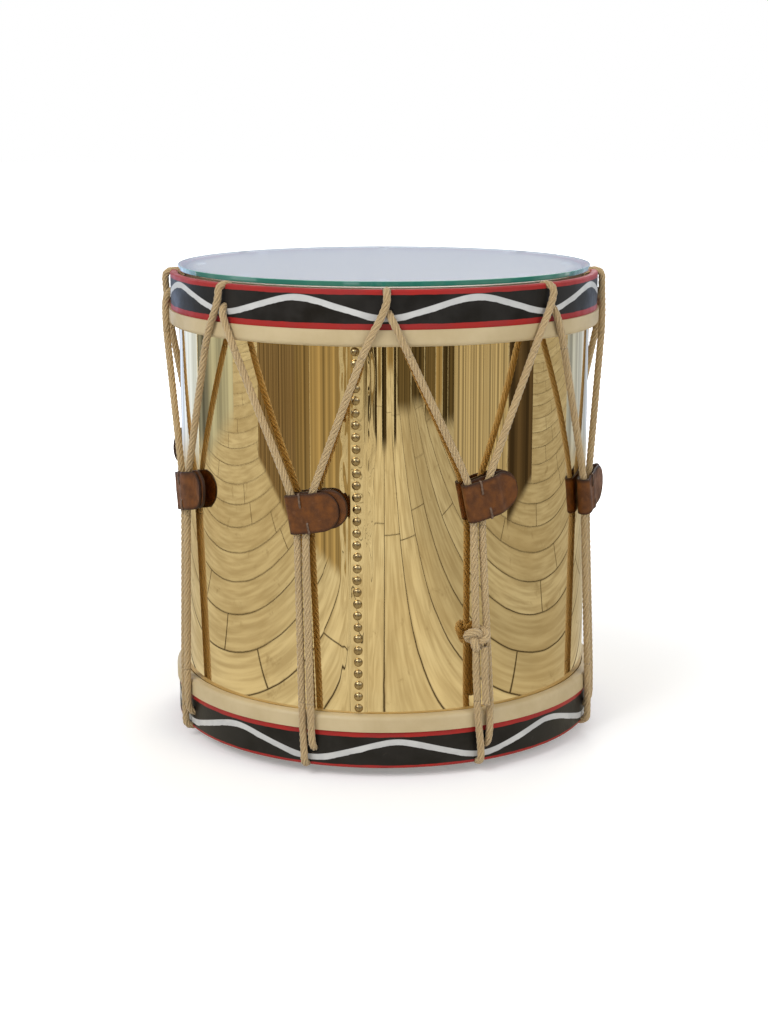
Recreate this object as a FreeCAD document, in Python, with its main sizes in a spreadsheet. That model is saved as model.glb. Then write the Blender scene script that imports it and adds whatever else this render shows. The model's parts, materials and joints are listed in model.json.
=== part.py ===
# Drum side table: a rope-tensioned brass drum with a loose glass top
# Millimetres, +Z up, origin on the floor under the middle of the drum, front towards -Y
# Azimuths are degrees from the front, growing towards +X

import FreeCAD, Part
import collections
import math
import os

import Sketcher

Vector = FreeCAD.Vector
Rotation = FreeCAD.Rotation
Placement = FreeCAD.Placement

doc = FreeCAD.newDocument("DrumSideTable")

# Driving sizes: one cell each, the alias is the size's name
SIZES = [
    ("foot_height", 12.0),
    ("foot_radius", 15.0),
    ("foot_edge", 1.5),
    ("foot_inset", 63.5),
    ("foot_count", 4),
    ("foot_bore_radius", 5.5),
    ("foot_bore_depth", 6.0),
    ("foot_screw_length", 34.0),
    ("hoop_play", 0.5),
    ("hoop_thickness", 8.5),
    ("hoop_height", 42.0),
    ("hoop_edge", 1.5),
    ("flesh_stand_out", 11.0),
    ("flesh_height", 18.0),
    ("flesh_edge_round", 5.0),
    ("skin_thickness", 0.8),
    ("shell_radius", 239.0),
    ("shell_length", 404.0),
    ("brass_thickness", 1.0),
    ("core_thickness", 8.0),
    ("lap_width", 16.0),
    ("lap_thickness", 0.6),
    ("seam_azimuth", -7.0),
    ("fit_clearance", 0.1),
    ("board_thickness", 18.0),
    ("top_ring_width", 40.0),
    ("bottom_ring_width", 95.0),
    ("ring_gap", 1.0),
    ("screw_shank_radius", 2.2),
    ("screw_head_radius", 4.5),
    ("screw_head_height", 3.0),
    ("ring_screw_length", 36.0),
    ("ring_screw_inset", 20.0),
    ("ring_screw_count", 8),
    ("glass_inset", 9.0),
    ("glass_thickness", 6.0),
    ("glass_bevel", 1.3),
    ("glass_gap", 2.0),
    ("bumper_radius", 6.0),
    ("bumper_edge", 0.6),
    ("bumper_inset", 16.0),
    ("bumper_count", 8),
    ("nail_count", 31),
    ("nail_end_margin", 6.0),
    ("nail_head_radius", 4.8),
    ("nail_head_height", 2.8),
    ("nail_rim_height", 0.6),
    ("nail_shank_radius", 1.1),
    ("nail_shank_length", 6.5),
    ("cut_overrun", 2.0),
    ("rope_diameter", 8.5),
    ("rope_clearance", 0.35),
    ("rope_flesh_clearance", 0.5),
    ("rope_rise", 3.0),
    ("rope_hole_bend", 7.0),
    ("rope_edge_bend", 80.0),
    ("rope_ear_bend", 60.0),
    ("rope_joint_run", 14.0),
    ("rope_edge_drop", 2.0),
    ("top_hole_depth", 24.0),
    ("bottom_hole_depth", 20.0),
    ("hole_side_shift", 2.0),
    ("pair_spacing", 9.4),
    ("knotted_spacing", 15.5),
    ("ear_height", 43.0),
    ("ear_spread", 24.0),
    ("ear_reach", 51.0),
    ("ear_leaf", 3.0),
    ("ear_bend_reach", 21.0),
    ("ear_fold_reach", 17.5),
    ("ear_tip_round", 17.0),
    ("ear_round_share", 0.95),
    ("ear_rope_clearance", 0.4),
    ("ear_shell_clearance", 0.7),
    ("thong_width", 3.0),
    ("thong_thickness", 1.6),
    ("thong_clearance", 0.2),
    ("thong_top_place", 3.5),
    ("thong_top_run", 15.0),
    ("thong_bottom_place", 11.0),
    ("thong_bottom_run", 12.0),
    ("knot_radius", 8.6),
    ("knot_waist", 6.6),
    ("knot_height", 20.0),
    ("knot_shoulder", 5.0),
    ("knot_level", 87.0),
    ("tail_length", 66.0),
]

# Sizes that follow from the driving ones, as sheet formulas
DERIVED = [
    ("bottom_seat", "foot_height + hoop_height"),
    ("bottom_edge", "bottom_seat + flesh_height"),
    ("top_edge", "bottom_edge + shell_length"),
    ("top_seat", "top_edge + flesh_height"),
    ("hoop_rim", "top_seat + hoop_height"),
    ("glass_base", "hoop_rim + glass_gap"),
    ("table_height", "glass_base + glass_thickness"),
    ("shell_top", "top_seat - skin_thickness"),
    ("shell_bottom", "bottom_seat + skin_thickness"),
    ("hoop_inner_radius", "shell_radius + hoop_play"),
    ("hoop_outer_radius", "hoop_inner_radius + hoop_thickness"),
    ("glass_radius", "hoop_outer_radius - glass_inset"),
    ("flesh_outer_radius", "shell_radius + flesh_stand_out"),
    ("brass_inner_radius", "shell_radius - brass_thickness"),
    ("core_outer_radius", "brass_inner_radius - fit_clearance"),
    ("core_inner_radius", "core_outer_radius - core_thickness"),
    ("board_radius", "core_inner_radius - fit_clearance"),
    ("flesh_inner_radius", "shell_radius + lap_thickness + fit_clearance"),
    ("flesh_wood_radius", "flesh_outer_radius - skin_thickness - fit_clearance"),
    ("flesh_wood_round", "flesh_edge_round - skin_thickness"),
    ("rope_radius", "rope_diameter / 2"),
    ("head_radius", "hoop_inner_radius - rope_diameter - 2 * rope_clearance - ring_gap"),
    ("ring_radius", "head_radius - skin_thickness"),
    ("ring_screw_circle", "ring_radius - ring_screw_inset"),
    ("foot_circle_radius", "ring_radius - foot_inset"),
    ("bumper_circle", "ring_radius - bumper_inset"),
    ("screw_hole_radius", "screw_shank_radius + fit_clearance"),
    ("nail_hole_radius", "nail_shank_radius + fit_clearance"),
    ("nail_seat", "shell_radius + lap_thickness"),
    ("nail_row", "shell_length - 2 * nail_end_margin"),
    ("lap_angle", "lap_width / shell_radius * 180 / pi"),
    ("lap_root", "shell_radius - brass_thickness / 2"),
    ("rope_inside_radius", "hoop_inner_radius - rope_radius - rope_clearance"),
    ("rope_outside_radius", "flesh_outer_radius + rope_radius + rope_flesh_clearance"),
    ("rope_edge_lift", "rope_rise - rope_radius"),
    ("pocket_half", "rope_radius + ear_rope_clearance"),
    ("ear_half", "pocket_half + ear_leaf"),
    ("ear_radius", "shell_radius + lap_thickness + ear_shell_clearance + ear_half"),
    ("ear_half_height", "ear_height / 2"),
    ("ear_slope_run", "2 * pocket_half"),
    ("ear_fold_round", "ear_round_share * ear_half"),
    ("pocket_round", "ear_round_share * pocket_half"),
    ("thong_half_width", "thong_width / 2"),
    ("tail_stand_off", "rope_diameter + 2 * rope_clearance"),
    ("knot_half_height", "knot_height / 2"),
    ("knot_bore", "rope_radius + rope_clearance"),
]

# Places around the drum, in degrees, and the ears' levels as shares of the visible shell
FULL_TURN = 360.0
QUARTER_TURN = FULL_TURN / 4
EAR_COUNT = 8
EAR_STEP = FULL_TURN / EAR_COUNT
TOP_TWIST = 0.7
EAR_TWIST = 1.5
BOTTOM_TWIST = 3.4
KNOTTED_EAR = EAR_COUNT // 4
EAR_LEVEL_SHARES = (0.552, 0.585, 0.535, 0.56, 0.545, 0.57, 0.59, 0.548)
EAR_TILTS = (9.0, 12.5, 12.0, 10.0, 9.5, 11.0, 10.5, 9.5)
ROPE_TURN_SHARE = 0.49

# How closely measures must agree, as shares of their size
VOLUME_SHARE = 0.01
NEARNESS_SHARE = 1e-4

sheet = doc.addObject("Spreadsheet::Sheet", "Sizes")
for row, (alias, number) in enumerate(SIZES, start=1):
    sheet.set(f"A{row}", str(number))
    sheet.setAlias(f"A{row}", alias)
for row, (alias, cells) in enumerate(DERIVED, start=1):
    sheet.set(f"B{row}", "=" + cells)
    sheet.setAlias(f"B{row}", alias)
doc.recompute()


def size(alias):
    """The value of one cell."""
    return float(sheet.get(alias))


def signed_terms(text):
    """A sum such as "hoop_rim - skin_thickness" as pairs of sign and cell name; 0 has no pairs."""
    terms = []
    sign = 1.0
    for word in text.split():
        if word in "+-":
            sign = 1.0 if word == "+" else -1.0
        elif word != "0":
            terms.append((sign, word))
            sign = 1.0
    return terms


def total(text):
    """The value of such a sum."""
    return sum(sign * size(alias) for sign, alias in signed_terms(text))


def formula(text):
    """The same sum as an expression on the sheet's cells."""
    parts = [("+" if sign > 0 else "-") + " Sizes." + alias for sign, alias in signed_terms(text)]
    return "0 " + " ".join(parts) if parts else "0"


# Sketch and feature helpers

def new_body(label):
    body = doc.addObject("PartDesign::Body", label)
    body.Label = label
    return body


def origin_feature(body, role):
    return next(item for item in body.Origin.OriginFeatures if item.Role == role)


def outline_sketch(body, name, plane, outlines, axis_offset=None):
    """Closed polygons whose corners are tied to the sheet, with an upright axis line if wanted."""
    sketch = body.newObject("Sketcher::SketchObject", name)
    sketch.AttachmentSupport = [(origin_feature(body, plane), "")]
    sketch.MapMode = "FlatFace"
    if axis_offset is not None:
        across = total(axis_offset)
        tall = size("table_height")
        line = sketch.addGeometry(Part.LineSegment(Vector(across, 0, 0), Vector(across, tall, 0)), True)
        tie_point(sketch, line, 1, axis_offset, "0")
        tie_point(sketch, line, 2, axis_offset, "table_height")
    for outline in outlines:
        corners = [Vector(total(across), total(along), 0) for across, along in outline]
        lines = [
            sketch.addGeometry(Part.LineSegment(corners[i - 1], corners[i]), False)
            for i in range(len(corners))
        ]
        for i, line in enumerate(lines):
            sketch.addConstraint(Sketcher.Constraint("Coincident", lines[i - 1], 2, line, 1))
            tie_point(sketch, line, 2, *outline[i])
    return sketch


def tie_point(sketch, line, end, across, along):
    for kind, text in (("DistanceX", across), ("DistanceY", along)):
        index = sketch.addConstraint(Sketcher.Constraint(kind, -1, 1, line, end, total(text)))
        sketch.setExpression(f"Constraints[{index}]", formula(text))


def turned(label, outline, axis_offset=None, about="V_Axis"):
    """A body turned from one outline of (radius, height) corners."""
    body = new_body(label)
    sketch = outline_sketch(body, label + "_outline", "XZ_Plane", [outline], axis_offset)
    turn = body.newObject("PartDesign::Revolution", label + "_turn")
    turn.Profile = sketch
    turn.ReferenceAxis = (sketch, ["Axis0" if axis_offset is not None else about])
    turn.Angle = FULL_TURN
    doc.recompute()
    return body


def around(body, count_alias):
    """Repeats the body's last feature about the drum's axis."""
    pattern = body.newObject("PartDesign::PolarPattern", body.Label + "_pattern")
    pattern.Originals = [body.Group[1]]
    pattern.Axis = (origin_feature(body, "Z_Axis"), [""])
    pattern.Angle = FULL_TURN
    pattern.setExpression("Occurrences", "Sizes." + count_alias)
    body.Tip = pattern
    doc.recompute()
    return body


def up_the_seam(body):
    """Repeats the body's last feature up the nail row, and turns it to the seam."""
    pattern = body.newObject("PartDesign::LinearPattern", body.Label + "_pattern")
    pattern.Originals = [body.Group[1]]
    pattern.Direction = (origin_feature(body, "Z_Axis"), [""])
    pattern.setExpression("Length", "Sizes.nail_row")
    pattern.setExpression("Occurrences", "Sizes.nail_count")
    body.Tip = pattern
    # The row starts on +X, which is a quarter turn past the front
    turn = Rotation(Vector(0, 0, 1), size("seam_azimuth") - QUARTER_TURN)
    body.Placement = Placement(Vector(0, 0, total("bottom_edge + nail_end_margin")), turn)
    doc.recompute()
    return body


def cut(label, base, tool):
    """The base less the tool, which must take something away."""
    result = doc.addObject("Part::Cut", label)
    result.Label = label
    result.Base = base
    result.Tool = tool
    doc.recompute()
    if not base.Shape.common(tool.Shape).Volume > 0:
        raise RuntimeError(f"{label}: the cut takes nothing away")
    return result


def round_edges(body, name, radius_alias, wanted):
    """Fillets those edges of the body whose middle point the test accepts."""
    shape = body.Tip.Shape
    names = [
        f"Edge{number}"
        for number, edge in enumerate(shape.Edges, start=1)
        if wanted(edge, edge.valueAt((edge.FirstParameter + edge.LastParameter) / 2))
    ]
    if not names:
        raise RuntimeError(f"{name}: no edge found")
    fillet = body.newObject("PartDesign::Fillet", name)
    fillet.Base = (body.Group[-2], names)
    fillet.setExpression("Radius", "Sizes." + radius_alias)
    doc.recompute()


def near(value, goal):
    return abs(value - goal) < NEARNESS_SHARE * size("hoop_outer_radius")


def ring_edge(radius, level):
    """A test for the circular edge of that radius and level."""
    return lambda edge, middle: (
        near(math.hypot(middle.x, middle.y), radius)
        and near(middle.z, level)
        and hasattr(edge.Curve, "Radius")
        and near(edge.BoundBox.ZLength, 0)
    )


parts = {}


def keep(feature):
    parts[feature.Label] = feature
    return feature


# Shell: plywood core, brass sheet with its lapped seam, and the seam nails

def tube_outline(inner, outer, low, high):
    return [(inner, low), (outer, low), (outer, high), (inner, high)]


nail_holes = up_the_seam(turned("nail_holes", [
    ("core_inner_radius", "0"),
    ("nail_seat + cut_overrun", "0"),
    ("nail_seat + cut_overrun", "nail_hole_radius"),
    ("core_inner_radius", "nail_hole_radius"),
], about="H_Axis"))

core_tube = turned("core_tube", tube_outline(
    "core_inner_radius", "core_outer_radius", "shell_bottom", "shell_top"))
keep(cut("shell_core", core_tube, nail_holes))

brass_tube = turned("brass_tube", tube_outline(
    "brass_inner_radius", "shell_radius", "shell_bottom", "shell_top"))


def seam_sector(label, radius):
    """A slice of a cylinder, as wide as the lap and as tall as the shell."""
    sector = doc.addObject("Part::Cylinder", label)
    sector.setExpression("Radius", formula(radius))
    sector.setExpression("Height", formula("shell_top - shell_bottom"))
    sector.setExpression("Angle", "Sizes.lap_angle")
    start = size("seam_azimuth") - QUARTER_TURN - size("lap_angle") / 2
    sector.Placement = Placement(Vector(0, 0, size("shell_bottom")), Rotation(Vector(0, 0, 1), start))
    return sector


seam_lap = cut("seam_lap", seam_sector("lap_outside", "nail_seat"), seam_sector("lap_inside", "lap_root"))
lapped_brass = doc.addObject("Part::Fuse", "lapped_brass")
lapped_brass.Base = brass_tube
lapped_brass.Tool = seam_lap
doc.recompute()
keep(cut("brass_shell", lapped_brass, nail_holes))

keep(up_the_seam(turned("seam_nails", [
    ("nail_seat - nail_shank_length", "0"),
    ("nail_seat - nail_shank_length + nail_shank_radius", "nail_shank_radius"),
    ("nail_seat", "nail_shank_radius"),
    ("nail_seat", "nail_head_radius"),
    ("nail_seat + nail_rim_height", "nail_head_radius"),
    ("nail_seat + nail_head_height - nail_rim_height",
     "nail_head_radius - nail_head_height + nail_rim_height"),
    ("nail_seat + nail_head_height", "nail_shank_radius"),
    ("nail_seat + nail_head_height", "0"),
], about="H_Axis")))


# Rope: straight runs joined by tangent arcs

def on_drum(radius, azimuth, level):
    angle = math.radians(azimuth)
    return Vector(radius * math.sin(angle), -radius * math.cos(angle), level)


def rounded_path(points, radii):
    """A wire along the points whose inner corners are arcs of the given radii."""
    edges = []
    start = points[0]
    for corner, after, radius in zip(points[1:-1], points[2:], radii):
        back = (start - corner).normalize()
        ahead = (after - corner).normalize()
        half_turn = (math.pi - back.getAngle(ahead)) / 2
        trim = radius * math.tan(half_turn)
        inward = (back + ahead).normalize()
        middle = corner + inward * (radius / math.cos(half_turn) - radius)
        edges.append(Part.LineSegment(start, corner + back * trim).toShape())
        edges.append(Part.Arc(corner + back * trim, middle, corner + ahead * trim).toShape())
        start = corner + ahead * trim
    edges.append(Part.LineSegment(start, points[-1]).toShape())
    return Part.Wire(edges)


def tube(path, radius):
    """A round tube along a path, whose volume is compared with its section times its length."""
    first = path.Edges[0]
    circle = Part.Circle(first.valueAt(first.FirstParameter), first.tangentAt(first.FirstParameter), radius)
    solid = path.makePipeShell([Part.Wire([circle.toShape()])], True, False)
    expected = math.pi * radius ** 2 * path.Length
    if abs(solid.Volume / expected - 1) > VOLUME_SHARE:
        raise RuntimeError(f"tube volume {solid.Volume:.1f} differs from {expected:.1f}")
    return solid


def top_azimuth(anchor):
    return TOP_TWIST + EAR_STEP * (anchor - 1)


def midway_azimuth(ear):
    """Midway between an ear's two top anchors, before any twist."""
    return EAR_STEP * (ear - 1) - EAR_STEP / 2


def ear_azimuth(ear):
    return EAR_TWIST + midway_azimuth(ear)


def bottom_azimuth(ear):
    return BOTTOM_TWIST + midway_azimuth(ear)


def ear_level(ear):
    return size("bottom_edge") + EAR_LEVEL_SHARES[ear - 1] * size("shell_length")


def degrees_along(length):
    """An arc length round the rope's outer circle, in degrees."""
    return math.degrees(length / size("rope_outside_radius"))


def ear_point(ear, side, share):
    """A point of a rope in an ear: side -1 is the left rope, share 0 the ear's foot and 1 its head."""
    spacing = size("pair_spacing") + share * (size("ear_spread") - size("pair_spacing"))
    level = ear_level(ear) + (share - 0.5) * size("ear_height")
    middle = on_drum(size("ear_radius"), ear_azimuth(ear), level)
    across = on_drum(1.0, ear_azimuth(ear) + QUARTER_TURN, 0.0)
    return middle + across * (side * spacing / 2)


# A leg of rope: where it leaves the flesh hoop, where its tube starts, and its end at the ear
Leg = collections.namedtuple("Leg", "leave joint mouth")


class HoopTurn:
    """One turn of rope over a hoop's free edge, down its inside and out through its hole."""

    def __init__(self, azimuth, edge_shift, hole_shift, seat, rim, flesh_edge, hole_depth):
        inward = 1.0 if seat > rim else -1.0
        edge = azimuth + degrees_along(edge_shift)
        hole = azimuth + degrees_along(hole_shift)
        rim_level = rim - inward * size("rope_edge_lift")
        hole_level = rim + inward * hole_depth
        self.leave_level = flesh_edge - inward * size("rope_edge_drop")
        self.edge_azimuth = edge
        self.hole_azimuth = hole
        self.rim_level = rim_level
        self.hole_level = hole_level
        self.over = on_drum(size("rope_outside_radius"), edge, rim_level)
        self.inside = on_drum(size("rope_inside_radius"), edge, rim_level)
        self.behind_hole = on_drum(size("rope_inside_radius"), hole, hole_level)
        self.out_of_hole = on_drum(size("rope_outside_radius"), hole, hole_level)

    def leave(self, from_hole, goal, spread=0.0):
        """Where a leg towards the goal leaves the flesh hoop's rounded edge."""
        azimuth = self.hole_azimuth if from_hole else self.edge_azimuth
        level = self.hole_level if from_hole else self.rim_level
        goal_azimuth = math.degrees(math.atan2(goal.x, -goal.y))
        half_turn = FULL_TURN / 2
        turn = (goal_azimuth - azimuth + half_turn) % FULL_TURN - half_turn
        share = (self.leave_level - level) / (goal.z - level)
        shift = degrees_along(spread)
        return on_drum(size("rope_outside_radius"), azimuth + share * turn + shift, self.leave_level)

    def path(self, edge_leg, hole_leg):
        """The turn's wire between its two legs."""
        points = [
            edge_leg.joint, edge_leg.leave, self.over, self.inside,
            self.behind_hole, self.out_of_hole, hole_leg.leave, hole_leg.joint,
        ]
        over_bend = ROPE_TURN_SHARE * total("rope_outside_radius - rope_inside_radius")
        bend = size("rope_hole_bend")
        edge_bend = size("rope_edge_bend")
        return rounded_path(points, [edge_bend, over_bend, over_bend, bend, bend, edge_bend])


def joint_point(leave, goal):
    """Where a turn's tube meets a leg's tube."""
    return leave + (goal - leave).normalize() * size("rope_joint_run")


top_turns = [
    HoopTurn(top_azimuth(anchor), 0.0, size("hole_side_shift"), size("top_seat"), size("hoop_rim"),
             size("top_edge"), size("top_hole_depth"))
    for anchor in range(1, EAR_COUNT + 1)
]
bottom_turns = [
    HoopTurn(bottom_azimuth(ear), -size("pair_spacing") / 2, size("pair_spacing") / 2, size("bottom_seat"),
             size("foot_height"), size("bottom_edge"), size("bottom_hole_depth"))
    for ear in range(1, EAR_COUNT + 1)
]


def upper_leg(ear, side):
    """The leg from the top hoop to the head of an ear; side -1 is the left one."""
    turn = top_turns[ear - 1] if side > 0 else top_turns[ear - 2]
    mouth = ear_point(ear, side, 1.0)
    leave = turn.leave(side < 0, mouth)
    return Leg(leave, joint_point(leave, mouth), mouth)


def lower_leg(ear, side):
    """The leg from the bottom hoop to the foot of an ear."""
    turn = bottom_turns[ear - 1]
    mouth = ear_point(ear, side, 0.0)
    spread = (size("knotted_spacing") - size("pair_spacing")) / 2 if ear == KNOTTED_EAR else 0.0
    leave = turn.leave(side > 0, mouth, side * spread)
    return Leg(leave, joint_point(leave, mouth), mouth)


def top_turn_path(anchor):
    """Up the right leg of one ear, over the hoop, and down the left leg of the next."""
    return top_turns[anchor - 1].path(upper_leg(anchor, 1), upper_leg(anchor % EAR_COUNT + 1, -1))


def bottom_turn_path(ear):
    return bottom_turns[ear - 1].path(lower_leg(ear, -1), lower_leg(ear, 1))


def leg_path(leg, ear, side):
    """From the joint with the turn to the middle of the ear."""
    return rounded_path([leg.joint, leg.mouth, ear_point(ear, side, 0.5)], [size("rope_ear_bend")])


def shape_feature(label, shape):
    feature = doc.addObject("Part::Feature", label)
    feature.Label = label
    feature.Shape = shape
    feature.Placement = Placement()
    return feature


ears = range(1, EAR_COUNT + 1)
turn_paths = {
    "top": [top_turn_path(anchor) for anchor in ears],
    "bottom": [bottom_turn_path(ear) for ear in ears],
}
rope_length = 0.0
for end, paths in turn_paths.items():
    solids = [tube(path, size("rope_radius")) for path in paths]
    rope_length += sum(path.Length for path in paths)
    keep(shape_feature(f"rope_{end}_turns", Part.makeCompound(solids)))
for name, leg in (("upper", upper_leg), ("lower", lower_leg)):
    for ear in ears:
        paths = [leg_path(leg(ear, side), ear, side) for side in (-1, 1)]
        rope_length += sum(path.Length for path in paths)
        solids = [tube(path, size("rope_radius")) for path in paths]
        keep(shape_feature(f"rope_{name}_{ear}", Part.makeCompound(solids)))

# Knot on the left leg of one pair, and the rope's tail in front of the pair
knotted_leg = lower_leg(KNOTTED_EAR, -1)
knot_axis = (knotted_leg.mouth - knotted_leg.leave).normalize()
knot_middle = knotted_leg.leave + knot_axis * size("knot_level")
knot = keep(turned("rope_knot", [
    ("knot_bore", "0 - knot_half_height"),
    ("knot_waist", "0 - knot_half_height"),
    ("knot_radius", "0 - knot_half_height + knot_shoulder"),
    ("knot_radius", "knot_half_height - knot_shoulder"),
    ("knot_waist", "knot_half_height"),
    ("knot_bore", "knot_half_height"),
]))
knot.Placement = Placement(knot_middle, Rotation(Vector(0, 0, 1), knot_axis))


def tail_point(level):
    """A point in front of the knotted pair, clear of both legs."""
    places = []
    for side in (-1, 1):
        leg = lower_leg(KNOTTED_EAR, side)
        share = (level - leg.leave.z) / (leg.mouth.z - leg.leave.z)
        places.append(leg.leave + (leg.mouth - leg.leave) * share)
    middle = (places[0] + places[1]) / 2
    half_spacing = (places[0] - places[1]).Length / 2
    stand_off = math.sqrt(max(0.0, size("tail_stand_off") ** 2 - half_spacing ** 2))
    outward = Vector(middle.x, middle.y, 0).normalize()
    return middle + outward * stand_off


tail_top = knot_middle.z - size("knot_half_height")
tail_path = Part.Wire([
    Part.LineSegment(tail_point(tail_top), tail_point(tail_top - size("tail_length"))).toShape(),
])
rope_length += tail_path.Length
keep(shape_feature("rope_tail", tube(tail_path, size("rope_radius"))))
over_bend = ROPE_TURN_SHARE * total("rope_outside_radius - rope_inside_radius")
print(f"rope length {rope_length:.0f} mm with its tail")
print(f"rope bends {over_bend:.1f} over the hoops, {size('rope_hole_bend'):.1f} at the holes, "
      f"{size('rope_edge_bend'):.0f} at the flesh hoops and {size('rope_ear_bend'):.0f} mm at the ears")


# Both ends: flesh hoop, lapped skin, counter hoop, bearing ring, board and screws

for end, rim, seat, edge, into in (
    ("top", "hoop_rim", "top_seat", "top_edge", "-"),
    ("bottom", "foot_height", "bottom_seat", "bottom_edge", "+"),
):
    out = "+" if into == "-" else "-"
    shell_end = f"{seat} {into} skin_thickness"
    ring_face = f"{rim} {into} skin_thickness"

    flesh = keep(turned(f"{end}_flesh_hoop", tube_outline(
        "flesh_inner_radius", "flesh_wood_radius",
        f"{edge} {out} skin_thickness {out} fit_clearance", f"{shell_end} {into} fit_clearance")))
    round_edges(flesh, f"{end}_flesh_round", "flesh_wood_round", ring_edge(
        size("flesh_wood_radius"), total(f"{edge} {out} skin_thickness {out} fit_clearance")))

    head = turned(f"{end}_skin", [
        ("0", rim),
        ("head_radius", rim),
        ("head_radius", seat),
        ("flesh_outer_radius", seat),
        ("flesh_outer_radius", edge),
        ("flesh_inner_radius", edge),
        ("flesh_inner_radius", f"{edge} {out} skin_thickness"),
        ("flesh_outer_radius - skin_thickness", f"{edge} {out} skin_thickness"),
        ("flesh_outer_radius - skin_thickness", shell_end),
        ("ring_radius", shell_end),
        ("ring_radius", ring_face),
        ("0", ring_face),
    ])
    round_edges(head, f"{end}_skin_inner_round", "flesh_wood_round", ring_edge(
        total("flesh_outer_radius - skin_thickness"), total(f"{edge} {out} skin_thickness")))
    round_edges(head, f"{end}_skin_round", "flesh_edge_round", ring_edge(
        size("flesh_outer_radius"), size(edge)))

    hoop_ring = turned(f"{end}_hoop_ring", [
        ("hoop_inner_radius", seat),
        ("hoop_outer_radius", seat),
        ("hoop_outer_radius", f"{rim} {into} hoop_edge"),
        ("hoop_outer_radius - hoop_edge", rim),
        ("hoop_inner_radius + hoop_edge", rim),
        ("hoop_inner_radius", f"{rim} {into} hoop_edge"),
    ])
    passages = [tube(path, total("rope_radius + rope_clearance")) for path in turn_paths[end]]
    rope_holes = shape_feature(f"{end}_rope_holes", Part.makeCompound(passages))
    keep(cut(f"{end}_counter_hoop", hoop_ring, rope_holes))

    board_face = f"{shell_end} {into} board_thickness"
    hole_start = f"{board_face} {into} cut_overrun"
    hole_end = f"{board_face} {out} ring_screw_length {out} fit_clearance"
    screw_holes = around(turned(f"{end}_screw_holes", [
        ("ring_screw_circle", hole_start),
        ("ring_screw_circle + screw_hole_radius", hole_start),
        ("ring_screw_circle + screw_hole_radius", hole_end),
        ("ring_screw_circle", hole_end),
    ], axis_offset="ring_screw_circle"), "ring_screw_count")
    keep(around(turned(f"{end}_ring_screws", [
        ("ring_screw_circle", f"{board_face} {into} screw_head_height"),
        ("ring_screw_circle + screw_head_radius", f"{board_face} {into} screw_head_height"),
        ("ring_screw_circle + screw_head_radius", board_face),
        ("ring_screw_circle + screw_shank_radius", board_face),
        ("ring_screw_circle + screw_shank_radius",
         f"{board_face} {out} ring_screw_length {into} screw_shank_radius"),
        ("ring_screw_circle", f"{board_face} {out} ring_screw_length"),
    ], axis_offset="ring_screw_circle"), "ring_screw_count"))

    board = turned(f"{end}_disc", [
        ("0", shell_end),
        ("board_radius", shell_end),
        ("board_radius", board_face),
        ("0", board_face),
    ])
    keep(cut(f"{end}_board", board, screw_holes))
    ring = cut(f"{end}_screwed_ring", turned(f"{end}_ring", tube_outline(
        f"ring_radius - {end}_ring_width", "ring_radius", shell_end, ring_face)), screw_holes)
    if end == "top":
        head.Label = "top_head"
        ring.Label = "top_bearing_ring"
        keep(head)
        keep(ring)
    else:
        bottom_head_blank = head
        bottom_ring_blank = ring

# Feet under the bottom ring, screwed through the bottom head

foot_seat = "foot_bore_depth"
foot_holes = around(turned("foot_holes", [
    ("foot_circle_radius", foot_seat),
    ("foot_circle_radius + screw_hole_radius", foot_seat),
    ("foot_circle_radius + screw_hole_radius", f"{foot_seat} + foot_screw_length + fit_clearance"),
    ("foot_circle_radius", f"{foot_seat} + foot_screw_length + fit_clearance"),
], axis_offset="foot_circle_radius"), "foot_count")
keep(around(turned("feet", [
    ("foot_circle_radius + screw_hole_radius", foot_seat),
    ("foot_circle_radius + foot_bore_radius", foot_seat),
    ("foot_circle_radius + foot_bore_radius", "0"),
    ("foot_circle_radius + foot_radius - foot_edge", "0"),
    ("foot_circle_radius + foot_radius", "foot_edge"),
    ("foot_circle_radius + foot_radius", "foot_height"),
    ("foot_circle_radius + screw_hole_radius", "foot_height"),
], axis_offset="foot_circle_radius"), "foot_count"))
keep(around(turned("foot_screws", [
    ("foot_circle_radius", f"{foot_seat} - screw_head_height"),
    ("foot_circle_radius + screw_head_radius", f"{foot_seat} - screw_head_height"),
    ("foot_circle_radius + screw_head_radius", foot_seat),
    ("foot_circle_radius + screw_shank_radius", foot_seat),
    ("foot_circle_radius + screw_shank_radius", f"{foot_seat} + foot_screw_length - screw_shank_radius"),
    ("foot_circle_radius", f"{foot_seat} + foot_screw_length"),
], axis_offset="foot_circle_radius"), "foot_count"))
keep(cut("bottom_head", bottom_head_blank, foot_holes))
keep(cut("bottom_bearing_ring", bottom_ring_blank, foot_holes))

# Glass on its bumpers

keep(around(turned("glass_bumpers", [
    ("bumper_circle", "hoop_rim"),
    ("bumper_circle + bumper_radius", "hoop_rim"),
    ("bumper_circle + bumper_radius", "glass_base - bumper_edge"),
    ("bumper_circle + bumper_radius - bumper_edge", "glass_base"),
    ("bumper_circle", "glass_base"),
], axis_offset="bumper_circle"), "bumper_count"))
keep(turned("glass_top", [
    ("0", "glass_base"),
    ("glass_radius - glass_bevel", "glass_base"),
    ("glass_radius", "glass_base + glass_bevel"),
    ("glass_radius", "table_height - glass_bevel"),
    ("glass_radius - glass_bevel", "table_height"),
    ("0", "table_height"),
]))


# Ears: a leather strip folded round a rope pair, its two leaves laid together as a tongue
# In an ear's own frame X runs along the drum's face, Y towards its axis and Z up the fold

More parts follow.
